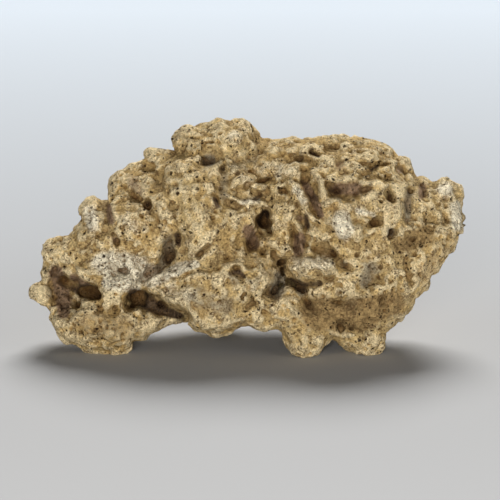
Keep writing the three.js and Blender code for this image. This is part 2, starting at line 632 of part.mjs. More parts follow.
// Keeps the largest closed surface, without loose crumbs and sealed bubbles
function largestPiece({ points, triangles }) {
  const parent = points.map((_, n) => n);
  const root = (n) => {
    while (parent[n] !== n) {
      parent[n] = parent[parent[n]];
      n = parent[n];
    }
    return n;
  };
  for (const [a, b, c] of triangles) {
    parent[root(a)] = root(b);
    parent[root(b)] = root(c);
  }
  const sizes = new Map();
  for (const [a] of triangles) {
    sizes.set(root(a), (sizes.get(root(a)) ?? 0) + 1);
  }
  const [largest] = [...sizes].reduce((best, entry) => (entry[1] > best[1] ? entry : best));
  return { points, triangles: triangles.filter(([a]) => root(a) === largest) };
}

// Squared distance to a set of planes, as the ten numbers of a symmetric 4 by 4 matrix
function planeError(normal, offset, weight) {
  const n = [normal.x, normal.y, normal.z, offset];
  const error = [];
  for (let i = 0; i < 4; i++) {
    for (let j = i; j < 4; j++) {
      error.push(weight * n[i] * n[j]);
    }
  }
  return error;
}

function errorAt(e, p) {
  return e[0] * p.x * p.x + 2 * e[1] * p.x * p.y + 2 * e[2] * p.x * p.z + 2 * e[3] * p.x
    + e[4] * p.y * p.y + 2 * e[5] * p.y * p.z + 2 * e[6] * p.y
    + e[7] * p.z * p.z + 2 * e[8] * p.z + e[9];
}

// Where the error is least, or null where the planes leave that open
function leastError(e) {
  const matrix = new THREE.Matrix3().set(e[0], e[1], e[2], e[1], e[4], e[5], e[2], e[5], e[7]);
  const scale = (e[0] + e[4] + e[7]) / 3;
  if (matrix.determinant() < flattestCorner * scale ** 3) return null;
  return new THREE.Vector3(-e[3], -e[6], -e[8]).applyMatrix3(matrix.invert());
}

function faceNormal(a, b, c) {
  return new THREE.Vector3().subVectors(b, a).cross(new THREE.Vector3().subVectors(c, a));
}

// Joins edge after edge, the one that changes the shape least first, until the goal is reached
function simplify({ points, triangles }, goal) {
  const faces = triangles.map((face) => [...face]);
  const facesAt = points.map(() => new Set());
  const errors = points.map(() => new Array(10).fill(0));
  const version = new Uint32Array(points.length);
  faces.forEach((face, n) => {
    const [a, b, c] = face.map((corner) => points[corner]);
    const normal = faceNormal(a, b, c);
    const area = normal.length();
    normal.divideScalar(area);
    const error = planeError(normal, -normal.dot(a), area);
    for (const corner of face) {
      facesAt[corner].add(n);
      error.forEach((value, i) => { errors[corner][i] += value; });
    }
  });

  // Binary heap of edges, cheapest on top
  const heap = [];
  const swap = (i, j) => { [heap[i], heap[j]] = [heap[j], heap[i]]; };
  const push = (entry) => {
    heap.push(entry);
    let n = heap.length - 1;
    while (n > 0 && heap[(n - 1) >> 1].cost > heap[n].cost) {
      swap(n, (n - 1) >> 1);
      n = (n - 1) >> 1;
    }
  };
  const pop = () => {
    const top = heap[0];
    const last = heap.pop();
    if (heap.length) heap[0] = last;
    let n = 0;
    while (2 * n + 1 < heap.length) {
      let child = 2 * n + 1;
      if (child + 1 < heap.length && heap[child + 1].cost < heap[child].cost) child++;
      if (heap[n].cost <= heap[child].cost) break;
      swap(n, child);
      n = child;
    }
    return top;
  };

  const neighbours = (n) => {
    const found = new Set();
    for (const f of facesAt[n]) {
      for (const corner of faces[f]) {
        if (corner !== n) found.add(corner);
      }
    }
    return found;
  };
  const offer = (a, b) => {
    const error = errors[a].map((value, i) => value + errors[b][i]);
    const middle = new THREE.Vector3().addVectors(points[a], points[b]).multiplyScalar(0.5);
    const span = points[a].distanceTo(points[b]);
    const best = leastError(error);
    const choices = [middle, points[a].clone(), points[b].clone()];
    if (best && best.distanceTo(middle) < span * farthestJoin) choices.push(best);
    const at = choices.reduce((p, q) => (errorAt(error, q) < errorAt(error, p) ? q : p));
    const cost = errorAt(error, at) + evenness * span ** 2;
    push({ a, b, at, error, cost, stamp: version[a] + version[b] });
  };
  const spoils = (from, other, at) => {
    for (const f of facesAt[from]) {
      const face = faces[f];
      if (face.includes(other)) continue;
      const before = faceNormal(...face.map((n) => points[n]));
      const moved = face.map((n) => (n === from ? at : points[n]));
      const after = faceNormal(...moved);
      const longest = Math.max(...moved.map((p, n) => p.distanceTo(moved[(n + 1) % 3])));
      if (after.length() < longest ** 2 * thinnest) return true;
      if (after.dot(before) < sharpestTurn * after.length() * before.length()) return true;
    }
    return false;
  };

  points.forEach((_, a) => {
    for (const b of neighbours(a)) {
      if (a < b) offer(a, b);
    }
  });
  let count = faces.length;
  while (count > goal && heap.length) {
    const { a, b, at, error, stamp } = pop();
    if (!facesAt[a].size || !facesAt[b].size || stamp !== version[a] + version[b]) continue;
    const around = neighbours(a);
    if (!around.has(b)) continue;
    const shared = [...neighbours(b)].filter((n) => around.has(n));
    if (shared.length !== 2 || spoils(a, b, at) || spoils(b, a, at)) continue;
    for (const f of [...facesAt[b]]) {
      if (faces[f].includes(a)) {
        faces[f].forEach((n) => facesAt[n].delete(f));
        count--;
      } else {
        faces[f] = faces[f].map((n) => (n === b ? a : n));
        facesAt[a].add(f);
      }
    }
    facesAt[b].clear();
    points[a].copy(at);
    errors[a] = error;
    version[a] += version[b] + 1;
    for (const n of neighbours(a)) {
      offer(a, n);
    }
  }
  const kept = new Set();
  facesAt.forEach((set) => set.forEach((f) => kept.add(f)));
  return { points, triangles: [...kept].map((f) => faces[f]) };
}

// Turns the sketch upright: the room has +X right, +Y away from the viewer and +Z up
function placeInRoom({ points, triangles }) {
  const numbers = new Map();
  const vertices = [];
  const faces = triangles.map((face) => face.map((n) => {
    if (!numbers.has(n)) {
      const { x: u, y: v, z: w } = points[n];
      numbers.set(n, vertices.length / 3);
      vertices.push(u, v * tiltSin - w * tiltCos, v * tiltCos + w * tiltSin);
    }
    return numbers.get(n);
  }));
  return { vertices: new Float32Array(vertices), faces: new Uint32Array(faces.flat()) };
}

const wasm = await Module();
wasm.setup();

function solidOf(vertices, faces) {
  return new wasm.Manifold(new wasm.Mesh({ numProp: 3, vertProperties: vertices, triVerts: faces }));
}

function boxSolid(size, middle) {
  const box = new THREE.BoxGeometry(...size).translate(...middle);
  box.deleteAttribute('normal');
  box.deleteAttribute('uv');
  const merged = mergeVertices(box);
  return solidOf(new Float32Array(merged.attributes.position.array), new Uint32Array(merged.index.array));
}

// Takes off what reaches below the floor, which leaves the flat feet
function cutFlat(room) {
  const below = boxSolid([groundSize, groundSize, groundDepth], [0, 0, -groundDepth / 2]);
  const cut = solidOf(room.vertices, room.faces).subtract(below).getMesh();
  const geometry = new THREE.BufferGeometry();
  geometry.setAttribute('position', new THREE.BufferAttribute(cut.vertProperties, cut.numProp));
  geometry.setIndex(new THREE.BufferAttribute(cut.triVerts, 1));
  geometry.translate(-stoneMiddle.x, -stoneMiddle.y, 0);
  geometry.computeVertexNormals();
  return geometry;
}

function makeRock() {
  const surface = simplify(largestPiece(meshOfField()), triangleGoal);
  const material = new THREE.MeshStandardMaterial({
    color: look.colour,
    roughness: look.roughness,
    metalness: look.metalness,
  });
  const rock = new THREE.Mesh(cutFlat(placeInRoom(surface)), material);
  rock.name = 'reef_rock';
  return rock;
}

const reefRock = new THREE.Group();
reefRock.add(makeRock());
export default reefRock;
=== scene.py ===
import math
import bpy
import numpy as np
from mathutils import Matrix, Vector


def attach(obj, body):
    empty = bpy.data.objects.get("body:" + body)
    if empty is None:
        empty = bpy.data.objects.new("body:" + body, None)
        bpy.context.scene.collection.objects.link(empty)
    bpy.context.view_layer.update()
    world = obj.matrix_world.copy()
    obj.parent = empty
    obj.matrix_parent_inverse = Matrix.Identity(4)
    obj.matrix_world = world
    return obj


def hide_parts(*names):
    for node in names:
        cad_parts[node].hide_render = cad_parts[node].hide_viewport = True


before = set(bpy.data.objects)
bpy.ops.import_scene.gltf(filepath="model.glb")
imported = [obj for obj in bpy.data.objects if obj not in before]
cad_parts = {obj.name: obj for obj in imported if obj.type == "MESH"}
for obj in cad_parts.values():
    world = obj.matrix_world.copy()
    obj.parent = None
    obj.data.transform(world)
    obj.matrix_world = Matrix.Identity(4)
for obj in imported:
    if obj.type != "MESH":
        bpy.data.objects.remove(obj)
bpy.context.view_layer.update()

# The stone is sketched from its front in millimetres: u right, v up the sketch, w towards the viewer.
# The sketch plane leans back by "tilt", and toRoom() turns it upright.
sketch = {
    "tilt": 12.0,                      # degrees, also the camera's height over the floor line
    "middle": (0.0, 27.85),            # where the stone's middle lies in x and y before it is centred
    "low": (-162.0, -16.0, -88.0),
    "high": (162.0, 170.0, 62.0),
    "voxel": 1.15,                     # smaller is finer and slower
    "coarse": 2,                       # the smooth masses are worked out on every second voxel
}
tiltCos = math.cos(math.radians(sketch["tilt"]))
tiltSin = math.sin(math.radians(sketch["tilt"]))

outline = [                            # u v, clockwise from the left tip
    (-153, 41), (-146, 49), (-145, 62), (-143, 65), (-145, 70), (-142, 78), (-124, 79), (-118, 90),
    (-118, 101), (-110, 108), (-99, 103), (-95, 116), (-89, 125), (-71, 132), (-72, 137), (-67, 141),
    (-52, 140), (-53, 152), (-49, 157), (-36, 158), (-27, 162), (-3, 162), (4, 158), (9, 148),
    (22, 147), (43, 151), (62, 153), (80, 149), (93, 149), (98, 144), (105, 137), (111, 136),
    (116, 132), (116, 121), (127, 121), (131, 117), (138, 122), (145, 120), (152, 97), (154, 91),
    (146, 74), (127, 53), (125, 45), (115, 36), (109, 21), (95, 10), (94, 3), (84, -4),
    (73, -2), (60, 4), (49, -1), (40, -6), (27, 2), (21, 16), (3, 16), (-12, 15), (-22, 12),
    (-34, 11), (-36, 16), (-57, 16), (-80, 7), (-84, 0), (-100, -3), (-124, 3), (-135, 16),
    (-137, 25), (-152, 38),
]

masses = {                             # middle u v w, half sizes u v w, turn in the sketch plane
    "right block": (66, 92, -8, 60, 50, 52, 0),
    "right wing": (116, 92, -14, 42, 28, 34, -6),
    "right shoulder": (84, 118, -20, 34, 32, 34, 0),
    "right flank": (108, 62, -8, 46, 34, 38, 44),
    "right belly": (72, 50, 6, 44, 36, 38, -14),
    "right skirt": (70, 26, 2, 40, 22, 30, 0),
    "right foot": (80, 11, 6, 16, 14, 18, 0),
    "top saddle": (30, 116, -18, 44, 33, 38, 0),
    "crown": (-22, 128, -20, 36, 34, 34, 0),
    "middle face": (-28, 92, -4, 52, 46, 44, 0),
    "left bulge": (-76, 84, -8, 34, 34, 38, 0),
    "left ridge": (-80, 108, -16, 24, 24, 26, 30),
    "left shoulder": (-106, 70, -10, 28, 28, 30, 0),
    "left end": (-126, 50, -12, 20, 30, 26, 0),
    "left foot": (-100, 18, 6, 38, 18, 27, -6),
    "foot bridge": (-90, 42, 4, 18, 12, 24, 0),
    "foot neck": (-72, 24, -4, 28, 13, 26, 8),
    "rear shelf": (-50, 36, -20, 28, 19, 26, 0),
    "back bulk": (10, 80, -40, 96, 50, 32, 0),
    "back left": (-76, 66, -34, 46, 40, 30, 0),
    "back skirt": (-18, 60, -58, 50, 27, 20, 0),
    "back leg left": (-96, 30, -28, 20, 20, 18, 0),
    "back leg right": (46, 36, -38, 18, 24, 18, 0),
}

overhangs = {                          # these keep their own edge in front, same order of values
    "slab": (-18, 46, 8, 46, 24, 37, 6),
    "slab lip": (-22, 25, 22, 21, 14, 18, 4),
    "slab end": (8, 29, 18, 18, 13, 18, 0),
    "skirt corner": (27, 32, 16, 15, 18, 20, 0),
    "front right foot": (40, 15, 12, 15, 17, 19, 0),
}

knobs = [                              # round lumps along the outline: middle u v w, radius
    (-147, 41, -4, 6), (-141, 40, -6, 9), (-134, 68, -4, 11), (-128, 67, -10, 11), (-135.5, 55, -6, 9.5),
    (-109, 97, -2, 10.4), (-105, 100, -6, 6), (-111, 87, 0, 10), (-86, 113, -6, 12), (-76, 119, -8, 12),
    (-60, 132, -8, 9.8), (-68, 136, -6, 4.5), (-43, 147, -6, 10.4), (-31, 149.5, -12, 9.4),
    (-19, 152, -8, 9.8), (-7, 151, -10, 11), (-1, 147, -14, 10.4), (14, 138, -12, 9.4),
    (31, 139, -10, 9.8), (43, 140, -14, 10), (56, 142, -12, 9.6), (64, 143, -16, 9.4),
    (75, 141, -20, 10), (86, 139, -18, 10), (93, 137, -20, 10.4), (105, 127, -8, 10), (100, 131, -12, 8),
    (123, 112, -12, 9), (137, 112, -12, 9.4), (142, 108, -14, 9.4), (143, 98, -12, 9.4),
    (148, 91, -14, 5.8), (-119, 73, 4, 10), (-120, 13, 6, 11.5), (-129, 24, -2, 10), (12, 21, 24, 6.4),
    (52, 12, 12, 8), (137, 74, -14, 9), (126, 62, -10, 10), (117, 50, -8, 10), (105, 34, -4, 10),
]

feet = {                               # cut flat at floor level: middle u v w, radius
    "left foot outer": (-109, 7, 5, 10.5),
    "left foot inner": (-93, 6, 8, 10.5),
    "front foot": (40, 7, 17, 12.5),
    "right foot": (84, 6.5, 10, 11),
    "back foot left": (-96, 15.5, -32, 11.5),
    "back foot right": (46, 18, -42, 11.5),
}

bumps = {                              # on the front: place u v, half sizes, turn, height
    "middle swell": (-30, 82, 18, 24, 0, 5),
}

pits = {                               # deep holes: place u v, half sizes, turn, depth, how crisp
    "left cave": (-116, 40.5, 6.5, 4.5, -20, 26, 1.4),
    "left cave throat": (-109, 39.5, 4.5, 3, -10, 30, 1.0),
    "step hole": (-90.5, 76, 3.4, 3.2, 0, 8, 0.8),
    "cheek hole": (-69, 101, 3.6, 4.4, 20, 10, 0.8),
    "bead": (-42.5, 70.5, 2, 2.2, 0, 6, 0.6),
    "big hole": (9.5, 90.5, 5, 7, -20, 26, 1.0),
    "west hollow deep": (-48.5, 77, 2.8, 6, -10, 13, 0.8),
    "crack a": (42, 112, 3.6, 5, 30, 11, 1.2),
    "crack b": (39, 87, 3, 6, -6, 13, 1.0),
    "crack b low": (41, 78, 2.4, 3.6, 20, 9, 1.0),
    "east hollow": (61, 111.5, 3.4, 4.4, 20, 13, 0.8),
    "wing eye": (98, 107, 3.2, 5, 16, 12, 0.6),
    "east pit": (87, 89.5, 5, 3.4, 0, 12, 0.6),
    "grey pit": (98.5, 81.5, 5, 4.2, 0, 10, 0.8),
    "ring hole": (44.5, 44.5, 2, 2.2, 0, 6, 0.6),
    "leaf hole": (-3, 40, 1.7, 1.5, 0, 5, 0.5),
    "leaf hole 2": (2.5, 37.5, 2, 1.4, -20, 5, 0.5),
    "knob hole": (-130, 59.5, 3, 1.8, 0, 6, 0.6),
    "dish hole": (-8, 98, 1.7, 1.5, 0, 5, 0.5),
    "top hole": (-25, 144.5, 2.6, 1.8, 0, 6, 0.6),
}

relief = {                             # worked into the front: height, how crisp, then u v radius along it
    "cave wall": (-12, 1.0, [(-135, 54, 8), (-131, 42, 12), (-129, 29, 9)]),
    "cave core": (-24, 1.2, [(-127, 46, 7), (-120, 41, 10), (-112, 40.5, 6.5), (-105, 39.5, 3)]),
    "cave roof": (-6, 1.3, [(-127, 50, 4), (-119, 47, 5), (-110, 42, 4)]),
    "knob shelf": (5, 1.3, [(-139, 68, 7), (-129, 68, 8)]),
    "knob underside": (-4.5, 1.4, [(-141, 57, 3), (-130, 58, 3.4), (-123, 54, 3)]),
    "cream lump": (5, 1.1, [(-116, 55, 8), (-107, 54, 7)]),
    "step gully": (-5, 1.3, [(-105, 78, 2), (-100, 81.5, 2.8), (-95.5, 87, 4), (-96.5, 95, 4),
                          (-99, 103, 3)]),
    "step slit": (-4, 1.5, [(-104, 79, 1.5), (-99, 83, 2.2), (-96, 87, 1.8)]),
    "step low": (-4, 1.2, [(-95, 80, 4), (-91, 76, 4.5)]),
    "pale knob": (6, 1.1, [(-110, 99, 7), (-108, 90, 8), (-110, 82, 6)]),
    "cheek arc": (-5, 1.1, [(-91, 103, 2.6), (-83, 107.5, 4.6), (-75, 106, 5.4), (-69, 101, 5),
                          (-65, 94, 2.8)]),
    "cheek": (8, 1.0, [(-86, 91, 11), (-75, 91, 13)]),
    "cheek slot": (-4, 1.4, [(-63.5, 95, 1.7), (-62, 90.5, 2.1)]),
    "face nick": (-4.5, 1.3, [(-57, 110, 2), (-56, 115.5, 3.2), (-50, 117, 2.2)]),
    "west hollow": (-10, 1.2, [(-51, 79, 8.5), (-53, 71, 9.5), (-55, 63, 7)]),
    "west slot": (-6, 1.4, [(-50, 80, 4), (-48.5, 74, 4)]),
    "west run": (-3, 1.1, [(-60, 60, 5), (-65, 54, 4)]),
    "white crease": (-2.5, 1.3, [(-70, 67, 1.5), (-69, 58, 2.2), (-67, 50, 1.6)]),
    "white nicks": (-2.5, 1.4, [(-82, 66.5, 1.4), (-77, 67.5, 1.5), (-72, 69.5, 1.3)]),
    "white step": (4, 1.0, [(-96, 62, 5), (-86, 60, 7), (-78, 54, 7), (-84, 48, 6)]),
    "ragged hole": (-6.5, 1.4, [(-35, 66, 2.6), (-29, 71.5, 4)]),
    "ragged lump": (3, 1.1, [(-33, 65, 4)]),
    "slab ridge": (7, 1.0, [(-68, 45, 6), (-60, 47.5, 10), (-50, 51, 11), (-40, 53, 9), (-31, 55, 6)]),
    "ridge slot": (-3.5, 1.4, [(-38, 55, 1.6), (-33, 56.5, 2.3), (-28, 55.5, 1.8)]),
    "ridge crack": (-3, 1.4, [(-67, 45, 1.6), (-58, 48, 1.5), (-50, 49.5, 1.5), (-44, 52, 1.5),
                          (-38, 55, 1.4)]),
    "slab dip": (-3.5, 1.0, [(-57, 43, 4), (-48, 45, 6), (-38, 47, 5)]),
    "slab rim": (6, 1.6, [(-67, 44, 3), (-59, 40, 4.4), (-51, 36, 4.4), (-43, 32, 4.4),
                          (-36, 23, 4.4), (-33, 17, 4),
                          (-20, 17, 4), (-10, 20, 4), (-2, 24, 4)]),
    "slab apron": (5, 1.0, [(-40, 36, 12), (-24, 31, 14)]),
    "under slab": (-11, 1.5, [(-81, 38.5, 5), (-74, 34, 10), (-66, 31, 10)]),
    "under slab low": (-9, 1.6, [(-65, 31, 9), (-57, 27.5, 6.5), (-49, 25, 5), (-43, 23, 3.6)]),
    "crown hollow": (-6.5, 1.2, [(-31, 130, 5), (-26, 134, 7.4), (-24, 139.5, 4.4)]),
    "crown crack": (-4.5, 1.4, [(-21, 139.5, 2), (-18.5, 135, 2.4), (-16, 130, 1.9)]),
    "crown arc": (-3, 1.4, [(-29, 146, 1.6), (-25, 147.5, 2), (-21.5, 146, 1.6)]),
    "trough": (-7, 1.4, [(-18, 127, 5), (-17.5, 118, 6.4), (-17, 110, 7.4), (-15, 103, 7)]),
    "bowl": (-7.5, 1.3, [(-15, 101, 8), (-6, 104, 10), (5, 106, 9)]),
    "bowl corner": (-7, 1.3, [(-22, 105, 3.8), (-20, 100, 3.2)]),
    "bowl dish": (-4, 1.1, [(-19, 96.5, 4), (-8, 95, 5), (2, 98, 4)]),
    "ledge": (4.5, 1.7, [(-17, 107, 2.2), (-10, 105.5, 2.4), (-4, 102.5, 2.3), (4, 103, 2.4),
                          (10, 103, 2)]),
    "ledge block": (5, 1.4, [(-9, 117, 3.6), (0, 119, 4), (8, 113, 4)]),
    "ledge slit": (-6, 1.5, [(-11, 110, 1.7), (-4, 113, 2.2), (3, 116, 2.8), (9, 118.5, 3.2),
                          (13.5, 119.5, 2)]),
    "ledge pit": (-6, 1.3, [(5.5, 105, 2.4), (9, 107, 3.2)]),
    "upper slit": (-4, 1.5, [(-12.5, 121.5, 1.6), (-8.5, 123, 2.1)]),
    "upper slit 2": (-4, 1.5, [(-1, 123, 1.4), (5, 123.5, 1.9), (8, 120.5, 2)]),
    "big hole top": (-13, 1.5, [(12.5, 95, 5), (9.6, 90.4, 7.5), (7, 84, 8)]),
    "big hole wall": (-11, 1.7, [(3.5, 83, 10), (2.5, 78, 10.5)]),
    "column": (6, 1.0, [(19, 100, 7), (21, 88, 7)]),
    "worm hole": (-7.5, 1.4, [(-11, 52, 6.6), (-6, 51, 6.6)]),
    "worm groove": (-4.5, 1.1, [(-12, 47, 7)]),
    "worm roof": (3, 1.2, [(-18, 57, 3), (-11, 60, 3.4), (-3, 58, 3)]),
    "leaf": (5, 1.0, [(5, 50, 6), (4, 43, 6)]),
    "nub seam": (-3.5, 1.5, [(10, 27, 2), (14, 24, 2.4), (12, 20, 2)]),
    "trench a": (-10, 1.2, [(37.5, 116, 6.5), (42, 112, 7), (46, 104, 6.4), (49, 97, 5.6), (50, 92, 4)]),
    "trench b": (-9, 1.2, [(33, 100, 4), (36, 93, 6), (38, 86, 6), (41, 79, 6), (42, 74, 4.4)]),
    "trench b foot": (-8, 1.2, [(32, 84, 4), (35, 76, 7), (34, 69, 6)]),
    "tongue": (5, 1.2, [(30, 116, 5), (35, 109, 7), (39, 101, 6.4), (42, 93, 4)]),
    "tongue left": (-4, 1.2, [(24, 109, 3.4), (27, 105, 3.4), (28, 99, 2.6)]),
    "yellow knob": (8, 1.2, [(17, 74, 9), (22, 71, 7)]),
    "seam low": (-4.5, 1.4, [(19, 59, 1.8), (25, 60.5, 2.3), (31, 65, 2.4), (36, 69, 2.6)]),
    "polyp lump": (11, 1.3, [(34, 58, 8.6), (46, 59, 9), (57, 57, 7.6)]),
    "under polyp": (-6.5, 1.3, [(24, 55, 4), (29, 47, 5), (38, 45, 5), (48, 46.5, 3.4), (58, 48.5, 2.6)]),
    "grey hollow": (-8, 1.1, [(22, 50, 9), (19, 42, 9)]),
    "grey hollow right": (-5, 1.1, [(44, 35, 4), (37, 40, 5)]),
    "ring": (3, 1.3, [(44.5, 44.5, 4.2)]),
    "mound groove": (-8, 1.2, [(48, 74, 4), (54, 69, 5.6), (60, 64, 6), (67, 58, 4.4)]),
    "pale mound": (10, 1.0, [(63, 89, 12), (73, 87, 11)]),
    "pale lip": (5, 1.6, [(74, 96, 2.8), (81, 94.5, 2.8), (88, 93, 2.3)]),
    "lip hollow": (-5, 1.3, [(83, 89.5, 3), (90, 89, 3.6)]),
    "sill": (7, 1.3, [(52, 102.5, 3), (60, 105, 4), (70, 101.5, 4)]),
    "east hollow deep": (-10, 1.4, [(60, 116, 4.6), (61, 110.5, 5.2), (67, 108, 5.2), (74, 110, 4.4)]),
    "east hollow wide": (-6.5, 1.2, [(62, 113, 7), (72, 112, 7), (80, 112, 5)]),
    "rib by trench": (6, 1.2, [(49, 121, 4.4), (53, 113, 4.6), (56, 107, 4)]),
    "small crest": (6, 1.3, [(78, 118, 3), (86, 117.5, 3.2), (93, 115, 3)]),
    "crest back": (-4, 1.3, [(80, 122, 3), (90, 121, 3), (95, 119, 3)]),
    "wing eye hollow": (-4.5, 1.2, [(96, 111, 4), (99, 104, 4)]),
    "right cheek": (8, 1.0, [(90, 101, 8), (103, 97, 9)]),
    "grey flute": (-4.5, 1.2, [(111, 113, 4), (110, 100, 5.6), (110, 90, 4.6)]),
    "wing groove": (-5, 1.2, [(121, 116, 3.6), (121, 109, 3.2)]),
    "wing slit": (-5, 1.5, [(84.5, 125, 2.1), (89, 127.5, 2.3)]),
    "wing slit 2": (-5, 1.5, [(91, 128.5, 2.1), (96.5, 130, 2.1)]),
    "ear hollow": (-4, 1.2, [(104, 126, 4.6), (108, 124, 4)]),
    "top slit": (-5, 1.5, [(43.5, 138.5, 2.1), (49.5, 135, 2.3)]),
    "top pit": (-5.5, 1.3, [(36.5, 126, 2.8), (40, 124.5, 3.2)]),
    "top dent": (-4.5, 1.2, [(55, 141, 4), (64, 138, 4.4), (63, 128, 5), (66, 122, 4)]),
    "top dent 2": (-4.5, 1.2, [(22, 134, 4), (28, 131, 4), (40, 132, 4), (50, 128, 3)]),
    "top knoll": (6, 1.0, [(76, 134, 8), (88, 136, 7)]),
    "top knoll 2": (6, 1.0, [(30, 141, 7), (42, 144, 7)]),
    "wing knoll": (6, 1.0, [(138, 110, 8), (145, 100, 7)]),
    "wing dent": (-4.5, 1.0, [(128, 110, 4), (130, 101, 4), (138, 92, 5)]),
    "dish": (-7, 1.0, [(84, 56, 13), (82, 48, 9)]),
    "flank rib": (3, 1.0, [(140, 84, 6), (127, 69, 8), (116, 55, 6)]),
    "flank dent": (-4.5, 1.1, [(112, 66, 4), (110, 58, 4.4), (113, 44, 4)]),
    "grey pit ring": (3, 1.2, [(98.5, 81.5, 9)]),
    "low dent": (-5, 1.1, [(56, 34, 4), (66, 30, 5), (78, 33, 4)]),
    "low dent 2": (-6, 1.2, [(62, 17, 4), (70, 14, 5.4), (79, 13, 4)]),
    "low rib": (6, 1.0, [(30, 29, 6), (46, 24, 7)]),
    "foot dent": (-5, 1.2, [(-104, 29, 4), (-98, 26, 5), (-92, 30, 4)]),
    "foot toe": (6, 1.0, [(-108, 12, 9), (-92, 12, 9)]),
    "foot line": (-3, 1.3, [(-103, 4, 2.6), (-101, 14, 3)]),
    "brow": (7, 1.0, [(-44, 128, 9), (-38, 114, 9), (-36, 98, 9), (-34, 84, 9)]),
    "brow left": (-5, 1.0, [(-62, 124, 6), (-60, 112, 6), (-52, 98, 6)]),
    "crown knoll": (7, 1.0, [(-8, 147, 8)]),
    "crown knoll 2": (6, 1.0, [(-42, 146, 7)]),
    "crown dent": (-4.5, 1.0, [(8, 138, 6), (2, 131, 6), (-8, 130, 5)]),
}
worked = {
    "bend": [(12, 4.5, 91), (5.5, 3.4, 95), (2.8, 2.6, 98)],  # ragged edges: cell, height, seed
    "soften": 0.7,
    "ragged": [(7, 0.5, 111), (3.4, 0.7, 112)],           # eats into the strokes' edges
    "hollowsWider": 1.25,
    "edgeWidth": 11, "from": -30, "width": 22,
    "roughHollow": (4, 0.8, 101), "uneven": (9, 0.9, 104),
}

spread = {                             # lumps and pits over the back, the ends and the top
    "count": 150, "seed": 5,
    "heart": (0, 76, -14), "reach": (170, 95, 85), "frontLimit": 0.3, "clearOfFloor": 16,
    "lumpRadius": (7, 13), "lumpOut": 0.45, "pitRadius": (4, 8), "pitIn": 0.25,
    "cavePitEvery": 7, "caveScale": 1.6,
}

blends = {"mass": 9, "overhang": 5, "knob": 2.5, "bump": 5, "rim": 1.6}
margins = {"lump": 12, "pit": 8, "pore": 2}  # room kept round a form that is worked in its own window
edge = {"inset": 0.4, "middle": -6, "straight": 14, "round": 150,
        "rough": [(10, 4.5, 121), (5, 3.2, 122)]}             # cell, height, seed
warp = {"height": 2.6, "cell": 12, "seed": 50}
skin = {
    "swells": [(24, 5.4, 3), (12, 3, 7)],               # cell size, height, seed
    "lumpCell": 15, "lumpHeight": 2, "lumpSeed": 21, "lumpFall": 2.4, "depth": 14,
    "rimWidth": 8, "rimShare": 0.2, "hollowShare": 0.8,
    "smoothPatches": [(-28, 84, 26, 0.35), (84, 56, 18, 0.3), (-32, 39, 25, 0.35),
                      (66, 88, 14, 0.3), (-76, 92, 12, 0.4)],  # u v, radius, share left
    "patchFade": 1.4,
    "frontStart": -5, "frontWidth": 20,
}


def cellNumber(i, j, k, seed):         # the same number from 0 to 1 each time for a cell
    i, j, k = (np.asarray(a).astype(np.int64).astype(np.uint32) for a in (i, j, k))
    h = (i * np.uint32(374761393) + j * np.uint32(668265263) + k * np.uint32(2147483642)
         + np.uint32(seed * 974711))
    h = (h ^ (h >> np.uint32(13))) * np.uint32(1274126177)
    h = (h ^ (h >> np.uint32(16))) * np.uint32(2246822519)
    h = h ^ (h >> np.uint32(15))
    return h.astype(np.float64) / 4294967296.0


def splineRows(grid, cell):
    cells = np.arange(math.floor(grid[0] / cell) - 1, math.floor(grid[-1] / cell) + 3)
    t = np.abs(grid[:, None] / cell - cells[None, :])
    rows = np.where(t < 1, 2 / 3 - t * t + 0.5 * t ** 3, np.clip(2 - t, 0, None) ** 3 / 6)
    return cells, rows.astype(np.float32)


def swellOn(axes, cell, seed):         # smooth noise between about -0.5 and 0.5
    (ci, bi), (cj, bj), (ck, bk) = (splineRows(a, cell) for a in axes)
    values = cellNumber(ci[:, None, None], cj[None, :, None], ck[None, None, :], seed) * 2 - 1
    part = np.tensordot(bi, values.astype(np.float32), (1, 0))
    part = np.tensordot(bj, part, (1, 1)).transpose(1, 0, 2)
    return np.tensordot(part, bk, (2, 1)).astype(np.float32)


def lumpDistance(u, v, w, cell, seed):  # squared distance to the nearest scattered point
    at = [np.asarray(x) / cell for x in (u, v, w)]
    low = [np.floor(a).astype(np.int64) for a in at]
    best = np.full(at[0].shape, np.inf)
    inset = 0.15                       # each point keeps this far from the sides of its cell
    for a in (-1, 0, 1):
        for b in (-1, 0, 1):
            for c in (-1, 0, 1):
                i, j, k = low[0] + a, low[1] + b, low[2] + c
                total = 0
                for n, corner in enumerate((i, j, k)):
                    jitter = (1 - 2 * inset) * cellNumber(i, j, k, seed + n)
                    total = total + (at[n] - corner - inset - jitter) ** 2
                best = np.minimum(best, total)
    return best


def smoothMin(a, b, k):
    h = np.clip(0.5 + 0.5 * (b - a) / k, 0, 1)
    return b * (1 - h) + a * h - k * h * (1 - h)


def smoothMax(a, b, k):
    return -smoothMin(-a, -b, k)


def ellipsoid(u, v, w, middle, half, turn):
    c, s = math.cos(math.radians(turn)), math.sin(math.radians(turn))
    du, dv, dw = u - middle[0], v - middle[1], w - middle[2]
    a, b, d = (du * c + dv * s) / half[0], (dv * c - du * s) / half[1], dw / half[2]
    inner = np.sqrt(a * a + b * b + d * d)
    slope = np.sqrt((a / half[0]) ** 2 + (b / half[1]) ** 2 + (d / half[2]) ** 2)
    return inner * (inner - 1) / np.maximum(slope, 1e-6)


def sphere(u, v, w, middle, radius):
    return np.sqrt((u - middle[0]) ** 2 + (v - middle[1]) ** 2 + (w - middle[2]) ** 2) - radius


